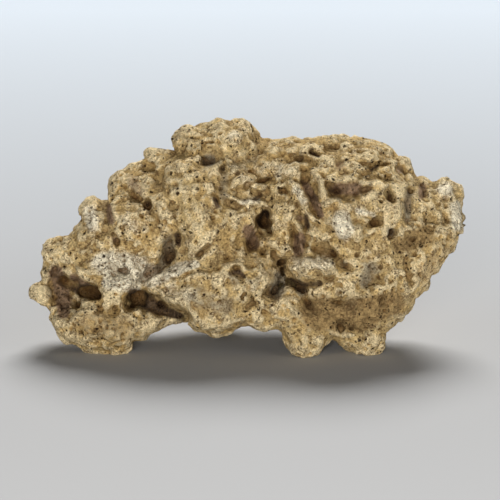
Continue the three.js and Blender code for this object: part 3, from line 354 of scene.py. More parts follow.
def outlineDistance(u, v):             # negative inside the outline
    u, v = np.broadcast_arrays(np.asarray(u, float), np.asarray(v, float))
    best = np.full(u.shape, np.inf)
    inside = np.zeros(u.shape, bool)
    for n, (ax, ay) in enumerate(outline):
        bx, by = outline[(n + 1) % len(outline)]
        ex, ey = bx - ax, by - ay
        t = np.clip(((u - ax) * ex + (v - ay) * ey) / (ex * ex + ey * ey), 0, 1)
        best = np.minimum(best, (u - ax - t * ex) ** 2 + (v - ay - t * ey) ** 2)
        if ay != by:
            inside ^= ((ay > v) != (by > v)) & (u < ax + (v - ay) * ex / ey)
    return np.where(inside, -1, 1) * np.sqrt(best)


def body(u, v, w, edgeAway):           # the stone without its bumps, pits and skin
    farAway = 1e3
    f = np.full(np.broadcast(u, v, w).shape, farAway, np.float32)
    for shape in masses.values():
        f = smoothMin(f, ellipsoid(u, v, w, shape[:3], shape[3:6], shape[6]), blends["mass"])
    away = np.clip(np.abs(w - edge["middle"]) - edge["straight"], 0, None)
    f = smoothMax(f, edgeAway + edge["inset"] + away * away / edge["round"], blends["overhang"])
    for shape in overhangs.values():
        f = smoothMin(f, ellipsoid(u, v, w, shape[:3], shape[3:6], shape[6]), blends["overhang"])
    for shape in knobs:
        f = smoothMin(f, sphere(u, v, w, shape[:3], shape[3]), blends["knob"])
    for shape in feet.values():
        f = smoothMin(f, sphere(u, v, w, shape[:3], shape[3]), blends["overhang"])
    return f.astype(np.float32)


def frontAt(u, v):                     # how far towards the viewer the body reaches
    w = np.arange(sketch["high"][2], sketch["low"][2], -1.0)
    f = body(np.full(w.shape, float(u)), np.full(w.shape, float(v)), w, outlineDistance(u, v))
    n = int(np.argmax(f < 0))
    return w[n] + f[n] / (f[n] - f[n - 1])


def spreadShapes():
    found = []
    for n in range(spread["count"]):
        along, around, size = (float(cellNumber(n, column, 0, spread["seed"])) for column in range(3))
        rise = 1 - 2 * along
        ring = math.sqrt(1 - rise * rise)
        angle = 2 * math.pi * around
        direction = np.array((rise, ring * math.cos(angle), ring * math.sin(angle)))
        t = np.arange(1, 0, -0.01)[:, None]
        path = np.array(spread["heart"]) + t * np.array(spread["reach"]) * direction
        f = body(path[:, 0], path[:, 1], path[:, 2], outlineDistance(path[:, 0], path[:, 1]))
        p = path[int(np.argmax(f < 0))]
        height = p[1] * tiltCos + p[2] * tiltSin
        if direction[2] > spread["frontLimit"] or height < spread["clearOfFloor"]:
            continue
        isLump = n % 2 == 0
        small, large = spread["lumpRadius"] if isLump else spread["pitRadius"]
        isCave = not isLump and n % spread["cavePitEvery"] == 0
        radius = (small + (large - small) * size) * (spread["caveScale"] if isCave else 1)
        if outlineDistance(p[0], p[1]) > -radius:
            continue
        shift = (spread["lumpOut"] - 1 if isLump else spread["pitIn"]) * radius
        found.append((p + shift * direction, radius, isLump))
    return found


# Fine finish that only the visual stone has
grain = {
    "bigSwell": (7.0, 3.0, 31),        # cell, height, seed
    "midSwell": (3.4, 2.4, 32),
    "wobble": (5.0, 1.3, 60),          # bends the rims of pits and lumps
    "onSmooth": 0.25, "onRim": 0.6,    # how much of the swells is left there
    "gouges": {
        "cell": 4.4, "depth": 2.5, "from": 0.12, "to": 0.36, "seed": 77, "onSmooth": 0.25, "onRim": 0.75,
        "patch": 26, "patchSeed": 78, "patchShare": 0.62, "patchSwing": 1.6, "least": 0.1,
    },
    "nodules": {"cell": 6.5, "height": 1.1, "fall": 2.4, "seed": 41, "depth": 4.0},
}
pores = {
    "count": 4200, "seed": 9,
    "radius": (0.7, 2.1), "depth": (1.6, 4.2), "rim": 0.2,
    "fewLarge": 3,                     # higher leaves fewer large ones
    "depthLuck": 0.35,                 # the rest of the depth goes with the size
    "patchFade": 1.5, "frontStart": -10, "frontWidth": 20,
    "busy": [                          # places with more pores: u v, radius, how many more
        (96, 42, 12, 5), (122, 80, 16, 5), (-112, 92, 12, 3), (-108, 20, 26, 2.5), (52, 57, 16, 3),
        (132, 106, 16, 3), (96, 124, 18, 2), (-34, 150, 16, 2), (70, 140, 26, 2), (20, 34, 16, 2),
        (-76, 70, 26, 2), (60, 30, 26, 2),
    ],
    "calm": [(-28, 84, 22, 0.35), (84, 56, 12, 0.3), (-22, 36, 20, 0.45), (66, 88, 12, 0.2)],
}
meshing = {
    "faces": 192000, "floorSnap": 0.12,
    "frontShare": 0.35,                # how readily the front is thinned, next to the back
    "levels": 4, "depth": 40, "groupFactor": 6,
}


def gridAxes(step):
    return [np.arange(low, high + step / 2, step, dtype=np.float32)
            for low, high in zip(sketch["low"], sketch["high"])]


def openAxes(axes):                     # three axes that open up into one grid
    return axes[0][:, None, None], axes[1][None, :, None], axes[2][None, None, :]


def finerRows(coarse, fine):           # cubic steps from the coarse grid to the fine one
    at = (fine - coarse[0]) / (coarse[1] - coarse[0])
    low = np.clip(np.floor(at).astype(int), 1, len(coarse) - 3)
    t = at - low
    weights = [-0.5 * t + t * t - 0.5 * t ** 3, 1 - 2.5 * t * t + 1.5 * t ** 3,
               0.5 * t + 2 * t * t - 1.5 * t ** 3, -0.5 * t * t + 0.5 * t ** 3]
    rows = np.zeros((len(fine), len(coarse)), np.float32)
    for n, weight in enumerate(weights):
        rows[np.arange(len(fine)), low - 1 + n] += weight
    return rows


def toFine(field, coarseAxes, fineAxes):
    ru, rv, rw = (finerRows(c, f) for c, f in zip(coarseAxes, fineAxes))
    part = np.tensordot(ru, field, (1, 0))
    part = np.tensordot(rv, part, (1, 1)).transpose(1, 0, 2)
    return np.tensordot(part, rw, (2, 1)).astype(np.float32)


def toFineFlat(field, coarseAxes, fineAxes):  # the same for a map over u and v alone
    ru, rv = (finerRows(c, f) for c, f in zip(coarseAxes[:2], fineAxes[:2]))
    return ru @ field @ rv.T


def windowAround(axes, middle, reach):
    cut = []
    for axis, place in zip(axes, middle):
        start = np.searchsorted(axis, place - reach)
        cut.append(slice(start, max(start + 1, np.searchsorted(axis, place + reach))))
    return tuple(cut)


def warpedWindow(axes, bend, cut):
    u, v, w = openAxes([axis[part] for axis, part in zip(axes, cut)])
    return u + bend[0][cut], v + bend[1][cut], w + bend[2][cut]


def skinShare(u, v, w):
    share = 1.0
    for pu, pv, radius, left in skin["smoothPatches"]:
        near = np.clip(skin["patchFade"] - np.sqrt((u - pu) ** 2 + (v - pv) ** 2) / radius, 0, 1)
        share = share * (1 - (1 - left) * near)
    front = np.clip((w - skin["frontStart"]) / skin["frontWidth"], 0, 1)
    return share * front + 1 - front


def strokeShare(u, v, points, crisp, ragged=0.0, wider=1.0):  # 1 in the middle of a stroke, 0 outside
    best = np.full(u.shape, -1.0)
    ends = points[1:] if len(points) > 1 else points
    for (u0, v0, r0), (u1, v1, r1) in zip(points, ends):
        du, dv = u1 - u0, v1 - v0
        t = np.clip(((u - u0) * du + (v - v0) * dv) / max(du * du + dv * dv, 1e-9), 0, 1)
        away = np.hypot(u - u0 - t * du, v - v0 - t * dv)
        best = np.maximum(best, 1 - away / (r0 + t * (r1 - r0)) / wider)
    best = np.clip((best + ragged) * crisp, 0, 1)
    return best * best * (3 - 2 * best)


def reliefMap(uAxis, vAxis):           # how far the front is worked out or in, in millimetres
    flat = (uAxis, vAxis, np.zeros(1, np.float32))
    u, v = np.meshgrid(uAxis, vAxis, indexing="ij")
    away = np.clip(-outlineDistance(u, v) / worked["edgeWidth"], 0, 1)
    for cell, height, seed in worked["bend"]:
        u = u + height * swellOn(flat, cell, seed)[:, :, 0]
        v = v + height * swellOn(flat, cell, seed + 1)[:, :, 0]
    ragged = sum(height * swellOn(flat, cell, seed)[:, :, 0] for cell, height, seed in worked["ragged"])
    out, hollow = np.zeros(u.shape), np.zeros(u.shape)
    for height, crisp, points in relief.values():
        wider = 1 if height > 0 else worked["hollowsWider"]
        share = strokeShare(u, v, points, crisp * worked["soften"], ragged, wider)
        if height > 0:
            out = np.maximum(out, height * share)
        else:
            hollow = np.minimum(hollow, height * share)
    cell, height, seed = worked["roughHollow"]
    hollow = hollow * (1 + height * swellOn(flat, cell, seed)[:, :, 0])
    cell, height, seed = worked["uneven"]
    out = out * (1 + height * swellOn(flat, cell, seed)[:, :, 0])
    return ((out + hollow) * away).astype(np.float32)


def stoneField():                      # negative inside the stone, on the fine grid
    fine = gridAxes(sketch["voxel"])
    coarse = gridAxes(sketch["voxel"] * sketch["coarse"])
    u, v, w = openAxes(coarse)
    away = outlineDistance(coarse[0][:, None], coarse[1][None, :])[:, :, None]
    for cell, height, seed in edge["rough"]:
        away = away + height * swellOn((coarse[0], coarse[1], np.zeros(1, np.float32)), cell, seed)
    f = toFine(body(u, v, w, away), coarse, fine)
    print("masses done")

    bend = [warp["height"] * swellOn(fine, warp["cell"], warp["seed"] + n) for n in range(3)]
    coarseBend = [warp["height"] * swellOn(coarse, warp["cell"], warp["seed"] + n) for n in range(3)]
    lumps = lumpDistance(u + coarseBend[0], v + coarseBend[1], w + coarseBend[2],
                         skin["lumpCell"], skin["lumpSeed"])
    lumps = toFine((skin["lumpHeight"] * (1 - skin["lumpFall"] * lumps)).astype(np.float32), coarse, fine)
    lumps[np.abs(f) > skin["depth"]] = 0
    cell, height, seed = grain["wobble"]
    bend = [part + height * swellOn(fine, cell, seed + n) for n, part in enumerate(bend)]

    extras = spreadShapes()
    for place in bumps.values():
        pu, pv, hu, hv, turn, height = place
        roundness = max(hu, hv)
        middle = (pu, pv, frontAt(pu, pv) + height - roundness)
        cut = windowAround(fine, middle, roundness + margins["lump"])
        shape = ellipsoid(*warpedWindow(fine, bend, cut), middle, (hu, hv, roundness), turn)
        f[cut] = smoothMin(f[cut], shape, blends["bump"])
    for middle, radius, isLump in extras:
        if isLump:
            cut = windowAround(fine, middle, radius + margins["lump"])
            shape = sphere(*warpedWindow(fine, bend, cut), middle, radius)
            f[cut] = smoothMin(f[cut], shape, blends["bump"])
    towards = np.clip((fine[2] - worked["from"]) / worked["width"], 0, 1)
    f -= reliefMap(fine[0], fine[1])[:, :, None] * towards[None, None, :]
    print("bumps and front relief done")

    total = lumps
    for cell, height, seed in skin["swells"]:
        total += height * swellOn(fine, cell, seed)
    fineAway = toFineFlat(away[:, :, 0].astype(np.float32), coarse, fine)
    rim = np.clip(-fineAway / skin["rimWidth"], skin["rimShare"], 1)[:, :, None]
    u, v, w = openAxes(fine)
    share = skinShare(u, v, w)
    f -= total * share * np.where(total > 0, rim, skin["hollowShare"])
    onSmooth, onRim = grain["onSmooth"], grain["onRim"]
    for cell, height, seed in (grain["bigSwell"], grain["midSwell"]):
        swell = height * swellOn(fine, cell, seed)
        f -= swell * (onSmooth + (1 - onSmooth) * share) * (onRim + (1 - onRim) * rim)
    print("skin done")

    for place in pits.values():
        pu, pv, hu, hv, turn, depth, rimWidth = place
        middle = (pu, pv, frontAt(pu, pv))
        cut = windowAround(fine, middle, max(hu, hv, depth) + margins["pit"])
        shape = ellipsoid(*warpedWindow(fine, bend, cut), middle, (hu, hv, depth), turn)
        f[cut] = smoothMax(f[cut], -shape, rimWidth)
    for middle, radius, isLump in extras:
        if not isLump:
            cut = windowAround(fine, middle, radius + margins["pit"])
            shape = sphere(*warpedWindow(fine, bend, cut), middle, radius)
            f[cut] = smoothMax(f[cut], -shape, blends["rim"])
    gouges = grain["gouges"]               # ragged dents, more of them in some patches
    dents = np.clip((swellOn(fine, gouges["cell"], gouges["seed"]) - gouges["from"])
                    / (gouges["to"] - gouges["from"]), 0, 1)
    swing = gouges["patchSwing"] * swellOn(fine, gouges["patch"], gouges["patchSeed"])
    patch = np.clip(gouges["patchShare"] + swing, gouges["least"], 1)
    onSmooth, onRim = gouges["onSmooth"], gouges["onRim"]
    dents = gouges["depth"] * dents * patch
    dents = dents * (onSmooth + (1 - onSmooth) * share) * (onRim + (1 - onRim) * rim)
    f += dents.astype(np.float32)
    print("pits done")

    nodules = grain["nodules"]
    i, j, k = np.nonzero(np.abs(f) < nodules["depth"])
    near = lumpDistance(fine[0][i] + bend[0][i, j, k], fine[1][j] + bend[1][i, j, k],
                        fine[2][k] + bend[2][i, j, k], nodules["cell"], nodules["seed"])
    f[i, j, k] -= (nodules["height"] * (1 - nodules["fall"] * near)).astype(np.float32)
    print("nodules done")
    return fine, f


def surfacePoints(axes, f):            # one point in each cell that the surface passes, and its quads
    inside = f < 0
    count = np.zeros(tuple(n - 1 for n in f.shape), np.int8)
    corners = [(a, b, c) for a in (0, 1) for b in (0, 1) for c in (0, 1)]
    shape = count.shape
    for a, b, c in corners:
        count += inside[a:a + shape[0], b:b + shape[1], c:c + shape[2]]
    cells = np.nonzero((count > 0) & (count < 8))
    number = np.full(shape, -1, np.int32)
    number[cells] = np.arange(len(cells[0]))
    place = np.zeros((len(cells[0]), 3))
    crossings = np.zeros(len(cells[0]))
    for n, start in enumerate(corners):
        for axis in range(3):
            if start[axis]:
                continue
            end = tuple(start[m] + (m == axis) for m in range(3))
            fa = f[cells[0] + start[0], cells[1] + start[1], cells[2] + start[2]]
            fb = f[cells[0] + end[0], cells[1] + end[1], cells[2] + end[2]]
            meets = (fa < 0) != (fb < 0)
            t = fa[meets] / (fa[meets] - fb[meets])
            point = np.tile(np.array(start, float), (len(t), 1))
            point[:, axis] += t
            place[meets] += point
            crossings[meets] += 1
    place /= crossings[:, None]
    points = np.empty_like(place)
    for m in range(3):
        step = axes[m][1] - axes[m][0]
        points[:, m] = axes[m][0] + (cells[m] + place[:, m]) * step

    quads = []
    for axis in range(3):
        one, two = [m for m in range(3) if m != axis]
        low = [slice(1, -1)] * 3
        high = [slice(1, -1)] * 3
        low[axis], high[axis] = slice(0, -1), slice(1, None)
        fa, fb = inside[tuple(low)], inside[tuple(high)]
        at = list(np.nonzero(fa != fb))
        outward = fa[tuple(at)]
        at[one] = at[one] + 1
        at[two] = at[two] + 1
        ring = []
        for d1, d2 in ((-1, -1), (0, -1), (0, 0), (-1, 0)):
            index = [None] * 3
            index[axis] = at[axis]
            index[one] = at[one] + d1
            index[two] = at[two] + d2
            ring.append(number[tuple(index)])
        quad = np.stack(ring, 1)
        flip = outward if axis == 1 else ~outward
        quad[flip] = quad[flip][:, ::-1]
        quads.append(quad)
    return points, np.concatenate(quads), cells


def carvePores(axes, f):
    rng = np.random.default_rng(pores["seed"])
    points, _, _ = surfacePoints(axes, f)
    weight = np.ones(len(points))
    front = np.clip((points[:, 2] - pores["frontStart"]) / pores["frontWidth"], 0, 1)
    for pu, pv, radius, more in pores["busy"]:
        near = np.clip(pores["patchFade"] - np.hypot(points[:, 0] - pu, points[:, 1] - pv) / radius, 0, 1)
        weight *= 1 + (more - 1) * near * front
    for pu, pv, radius, left in pores["calm"]:
        near = np.clip(pores["patchFade"] - np.hypot(points[:, 0] - pu, points[:, 1] - pv) / radius, 0, 1)
        weight *= 1 - (1 - left) * near * front
    chosen = rng.choice(len(points), pores["count"], replace=False, p=weight / weight.sum())
    small, large = pores["radius"]
    shallow, deep = pores["depth"]
    steps = [axis[1] - axis[0] for axis in axes]
    for n in chosen:
        p = points[n]
        size = rng.random() ** pores["fewLarge"]
        radius = small + (large - small) * size
        luck = pores["depthLuck"]
        depth = shallow + (deep - shallow) * (luck * rng.random() + (1 - luck) * size)
        index = tuple(int(round((p[m] - axes[m][0]) / steps[m])) for m in range(3))
        slope = np.array([f[tuple(index[k] + (k == m) for k in range(3))]
                          - f[tuple(index[k] - (k == m) for k in range(3))] for m in range(3)])
        slope /= max(np.linalg.norm(slope), 1e-6)
        cut = windowAround(axes, p, depth + radius + margins["pore"])
        u, v, w = openAxes([axis[part] for axis, part in zip(axes, cut)])
        du, dv, dw = u - p[0], v - p[1], w - p[2]
        along = du * slope[0] + dv * slope[1] + dw * slope[2]
        across = np.sqrt(np.maximum(du * du + dv * dv + dw * dw - along * along, 0))
        d = (np.hypot(across / radius, along / depth) - 1) * radius
        f[cut] = smoothMax(f[cut], -d, pores["rim"])


def boxBlur(field, reach):
    for axis in range(3):
        width = 2 * reach + 1
        pad = [(0, 0)] * 3
        pad[axis] = (reach + 1, reach)
        total = np.cumsum(np.pad(field, pad, mode="edge"), axis=axis, dtype=np.float32)
        high = [slice(None)] * 3
        low = [slice(None)] * 3
        high[axis] = slice(width, None)
        low[axis] = slice(0, -width)
        field = (total[tuple(high)] - total[tuple(low)]) / width
    return field


def toRoom(points):                    # sketch millimetres to room metres
    x = points[:, 0] - sketch["middle"][0]
    y = points[:, 1] * tiltSin - points[:, 2] * tiltCos - sketch["middle"][1]
    z = points[:, 1] * tiltCos + points[:, 2] * tiltSin
    return np.stack((x, y, z), 1) / 1000


def meshFromQuads(name, points, quads):
    mesh = bpy.data.meshes.new(name)
    mesh.vertices.add(len(points))
    mesh.vertices.foreach_set("co", points.astype(np.float32).ravel())
    mesh.loops.add(quads.size)
    mesh.loops.foreach_set("vertex_index", quads.astype(np.int32).ravel())
    mesh.polygons.add(len(quads))
    mesh.polygons.foreach_set("loop_start", np.arange(0, quads.size, 4, dtype=np.int32))
    mesh.update(calc_edges=True)
    mesh.validate()
    return mesh


def keepLargest(points, quads):        # drops crumbs and sealed bubbles
    label = np.arange(len(points))
    while True:
        lowest = label[quads].min(1)
        before = label.copy()
        for corner in range(4):
            np.minimum.at(label, quads[:, corner], lowest)
        label = label[label]
        if np.array_equal(before, label):
            break
    names, counts = np.unique(label[quads[:, 0]], return_counts=True)
    kept = label == names[np.argmax(counts)]
    renumber = np.cumsum(kept) - 1
    return points[kept], renumber[quads[kept[quads[:, 0]]]]


def sampleAt(field, axes, points):     # the field's value at each point, between its eight neighbours
    low, part = [], []
    for m in range(3):
        at = (points[:, m] - axes[m][0]) / (axes[m][1] - axes[m][0])
        low.append(np.clip(np.floor(at).astype(int), 0, len(axes[m]) - 2))
        part.append(np.clip(at - low[m], 0, 1))
    total = np.zeros(len(points))
    for a in (0, 1):
        for b in (0, 1):
            for c in (0, 1):
                share = 1.0
                for m, side in enumerate((a, b, c)):
                    share = share * (part[m] if side else 1 - part[m])
                total += share * field[low[0] + a, low[1] + b, low[2] + c]
    return total


def toSketch(room):                    # room metres back to sketch millimetres
    x = room[:, 0] * 1000 + sketch["middle"][0]
    y = room[:, 1] * 1000 + sketch["middle"][1]
    z = room[:, 2] * 1000
    return np.stack((x, y * tiltSin + z * tiltCos, z * tiltSin - y * tiltCos), 1)


stainsAndShade = {                             # tints, some of them painted shade: strength, then u v radius along it
    "bleached": [
        (1, [(-101, 61, 12), (-89, 59, 17), (-77, 56, 16), (-66, 51, 12)]),
        (1, [(-96, 48, 9), (-80, 46, 10)]),
        (.9, [(-68, 46, 4), (-58, 52, 7), (-46, 58, 7), (-36, 60, 5)]),
        (.5, [(-54, 42, 9), (-40, 40, 11)]),
        (1, [(64, 91, 11), (66, 83, 10)]), (.7, [(75, 97, 4), (86, 94, 4)]),
        (.5, [(-84, 90, 10), (-74, 86, 10)]),
        (.8, [(-110, 97, 8), (-108, 87, 8)]), (.9, [(146, 100, 9), (146, 88, 8)]), (.8, [(138, 112, 11)]),
        (.6, [(34, 61, 9), (54, 61, 9)]), (.7, [(33, 112, 6), (38, 104, 5)]),
        (.7, [(-4, 103, 4), (7, 104, 4)]),
        (.4, [(-3, 119, 6), (6, 114, 5)]), (.4, [(93, 72, 6), (84, 66, 8)]),
        (.4, [(6, 52, 7), (3, 44, 7)]),
        (.5, [(-10, 150, 7)]), (.4, [(60, 104, 7)]), (.4, [(-8, 128, 12), (28, 126, 12)]),
    ],
    "mauve": [
        (1, [(-134, 54, 9), (-131, 42, 11), (-128, 27, 8)]), (.8, [(-122, 50, 6), (-113, 45, 6)]),
        (.8, [(-97, 100, 4), (-95, 90, 5)]), (1, [(0, 84, 7), (4, 74, 7)]),
        (1, [(40, 114, 5), (46, 104, 5), (50, 94, 4)]),
        (1, [(36, 78, 7), (35, 69, 6)]), (.7, [(36, 92, 5)]), (.9, [(62, 112, 7), (74, 112, 8)]),
        (.5, [(82, 112, 7)]),
        (.8, [(122, 114, 6), (121, 108, 5)]), (.5, [(-80, 118, 8), (-76, 110, 7)]), (.7, [(106, 126, 6)]),
        (.6, [(64, 128, 7)]), (.4, [(111, 104, 8)]), (.6, [(-92, 78, 6)]),
    ],
    # painted shade: grey laid into the shaded hollows, the dish and the slab's lower face
    "greyAndShade": [
        (1, [(-27, 132, 8)]), (.6, [(-17, 124, 6), (-17, 108, 7)]), (.9, [(22, 50, 9), (20, 42, 10)]),
        (.7, [(37, 42, 8)]), (.7, [(84, 56, 13), (80, 48, 8)]), (.7, [(111, 110, 5), (110, 92, 5)]),
        (.7, [(-55, 76, 8), (-54, 66, 9), (-62, 57, 6)]), (.6, [(-9, 50, 8)]), (.8, [(98, 82, 6)]),
        (.4, [(-112, 70, 9)]), (.3, [(70, 35, 14)]), (.6, [(-34, 38, 13), (-16, 32, 13)]),
    ],
    # painted shade: near-black laid under the slab's overhang, in the cave's throat, at the tops of the big
    # holes and in the narrow slots
    "underShadePaint": [
        (1, [(-80, 40, 6), (-74, 36, 9), (-66, 31, 8), (-57, 27, 6), (-48, 24, 4)]),
        (1, [(-123, 44, 6), (-114, 41, 7), (-106, 40, 4)]), (1, [(12, 95, 5), (9.6, 90, 6.5)]),
        (.8, [(-49, 80, 4), (-48, 74, 4)]), (.8, [(-12, 54, 3.5), (-6, 55, 3.5), (-3, 52, 3)]),
        (.8, [(40, 93, 3), (41, 86, 3.5)]), (.7, [(38, 117, 3.5)]),
        (.7, [(30, 50, 3), (40, 46, 3), (50, 47, 3)]),
        (.7, [(57, 111, 4)]), (.6, [(-29, 132, 3)]), (.8, [(-23, 105, 3), (-21, 100, 3)]),
        (.7, [(5, 105, 3), (9, 108, 3)]),
        (.8, [(44, 138, 2), (49, 135, 2)]), (.8, [(85, 125, 2), (90, 128, 2)]), (.7, [(98, 107, 3)]),
        (.7, [(-70, 102, 4)]), (.6, [(-32, 70, 3), (-26, 73, 3)]), (.6, [(66, 60, 5)]),
    ],
    # brown tint; on the underside, under the slab and on the lower right it is also painted shade where the
    # stone turns away from the light
    "tawnyAndShade": [
        (.6, [(-112, 18, 18), (-88, 16, 18)]), (.8, [(122, 80, 14), (104, 72, 8)]),
        (1, [(48, 26, 20), (78, 26, 20), (100, 34, 14)]),
        (.8, [(-76, 36, 8), (-62, 28, 8)]), (.35, [(-20, 28, 14)]), (.5, [(140, 76, 10), (120, 52, 12)]),
        (.4, [(-44, 148, 10)]), (.3, [(90, 130, 14)]),
    ],
}


painting = {
    "hollow": 2.6, "deep": 8.0,        # how far round a point the hollow measure looks for stone, in millimetres; it drives dirt, painted shade and painted highlight
    "frontStart": -20, "frontWidth": 15, "crisp": 1.3,
}


def paintStainsAndShade(mesh, axes, inside):   # float attributes that the stone's material reads: hollow measures and tints, some of them painted shade
    room = np.empty(len(mesh.vertices) * 3, np.float32)
    mesh.vertices.foreach_get("co", room)
    points = toSketch(room.reshape(-1, 3).astype(float))
    step = sketch["voxel"]
    layers = {}
    for name in ("hollow", "deep"):
        reach = int(round(painting[name] / step))
        blurred = boxBlur(boxBlur(inside, reach), reach)
        layers[name] = (sampleAt(blurred, axes, points) - 0.5) * 2
    front = np.clip((points[:, 2] - painting["frontStart"]) / painting["frontWidth"], 0, 1)
    for name, places in stainsAndShade.items():
        total = np.zeros(len(points))
        for strength, stroke in places:
            share = strokeShare(points[:, 0], points[:, 1], stroke, painting["crisp"])
            total = np.maximum(total, strength * share)
        layers[name] = total * front
    for name, values in layers.items():
        mesh.attributes.new(name, "FLOAT", "POINT").data.foreach_set("value", values.astype(np.float32))


def buildRock():
    axes, f = stoneField()
    carvePores(axes, f)
    print("pores done")
    u, v, w = openAxes(axes)
    np.maximum(f, -(v * tiltCos + w * tiltSin), out=f)
    points, quads, _ = surfacePoints(axes, f)
    points, quads = keepLargest(points, quads)
    room = toRoom(points)
    room[room[:, 2] < meshing["floorSnap"] / 1000, 2] = 0
    mesh = meshFromQuads("reefRock", room, quads)
    rock = bpy.data.objects.new("reefRock", mesh)
    bpy.context.scene.collection.objects.link(rock)
    print("rock meshed:", len(points), "points,", len(quads), "quads")

    group = rock.vertex_groups.new(name="thin out")
    backness = np.clip(0.5 - points[:, 2] / meshing["depth"], 0, 1)
    levels = meshing["levels"]
    for level in range(levels + 1):
        share = meshing["frontShare"] + (1 - meshing["frontShare"]) * level / levels
        group.add(np.nonzero(np.rint(backness * levels) == level)[0].tolist(), share, "REPLACE")
    thin = rock.modifiers.new("thin out", "DECIMATE")
    thin.ratio = meshing["faces"] / (2 * len(quads))
    thin.vertex_group = group.name
    thin.vertex_group_factor = meshing["groupFactor"]
    bpy.context.view_layer.update()
    depsgraph = bpy.context.evaluated_depsgraph_get()
    thinned = bpy.data.meshes.new_from_object(rock.evaluated_get(depsgraph))
    rock.modifiers.clear()
    rock.vertex_groups.clear()
    rock.data = thinned
    thinned.name = "reefRock"
    places = np.empty(len(thinned.vertices) * 3, np.float32)
    thinned.vertices.foreach_get("co", places)
    np.maximum(places[2::3], 0, out=places[2::3])          # nothing below the floor
    thinned.vertices.foreach_set("co", places)
    thinned.update()
    thinned.polygons.foreach_set("use_smooth", np.ones(len(thinned.polygons), bool))
    print("rock thinned:", len(thinned.polygons), "faces")
    paintStainsAndShade(thinned, axes, (f < 0).astype(np.float32))
    return rock


stoneLook = {
    "ochre": (0.55, 0.375, 0.150), "straw": (0.66, 0.485, 0.225), "cream": (0.78, 0.63, 0.37),
    # next line: the third colour is a grey laid as painted shade in hollows
    "bleached": (0.88, 0.79, 0.59), "mauve": (0.31, 0.205, 0.125), "greyAndShade": (0.38, 0.32, 0.215),
    # next line: a brown that is partly painted shade on the underside and lower right, and a near-black
    # that is painted shade under overhangs and in slots
    "tawnyAndShade": (0.37, 0.25, 0.108), "underShadePaint": (0.12, 0.080, 0.048),
    # next line: the first colour is near-black painted shade inside the smallest pits
    "pore": (0.030, 0.016, 0.008), "crumb": (0.25, 0.145, 0.062),
    # next line: a brown for dirt and painted shade in hollows, and a darker one for painted shade deep in
    # holes
    "hollowDirtAndShade": (0.58, 0.46, 0.34), "deepHoleShade": (0.30, 0.215, 0.155),
    "noises": {                        # scale, detail, roughness, bend
        "drift": (34, 3), "mottle": (130, 5, 0.62), "speck": (560, 3, 0.65), "fleck": (1200, 2, 0.6),
        "crumbs": (760, 3, 0.7, 1.2), "crumbPatches": (70, 3), "lines": (300, 3, 0.55, 0.8),
        "linePatches": (150, 2), "holePatches": (60, 3, 0.6), "prickPatches": (90, 2),
    },
    "holes": (215, 0.02, 0.33), "pricks": (450, 0.02, 0.42),  # scale, smallest and largest size
    "toStraw": (0.38, 0.62), "toCream": (0.46, 0.72),         # where one colour gives way to the next
    "tintEdge": (0.1, 0.8), "tintRagged": 1.5,
    # the last range on the next line brightens knolls and darkens dents: painted highlight and painted
    # shade
    "gritShade": (0.66, 1.22), "fineShade": (0.84, 1.12), "knollLightDentRange": (1.12, 0.74),
    "roughness": 0.95, "specular": 0.12, "bump": 1.0, "bumpDepth": 0.0014,
}


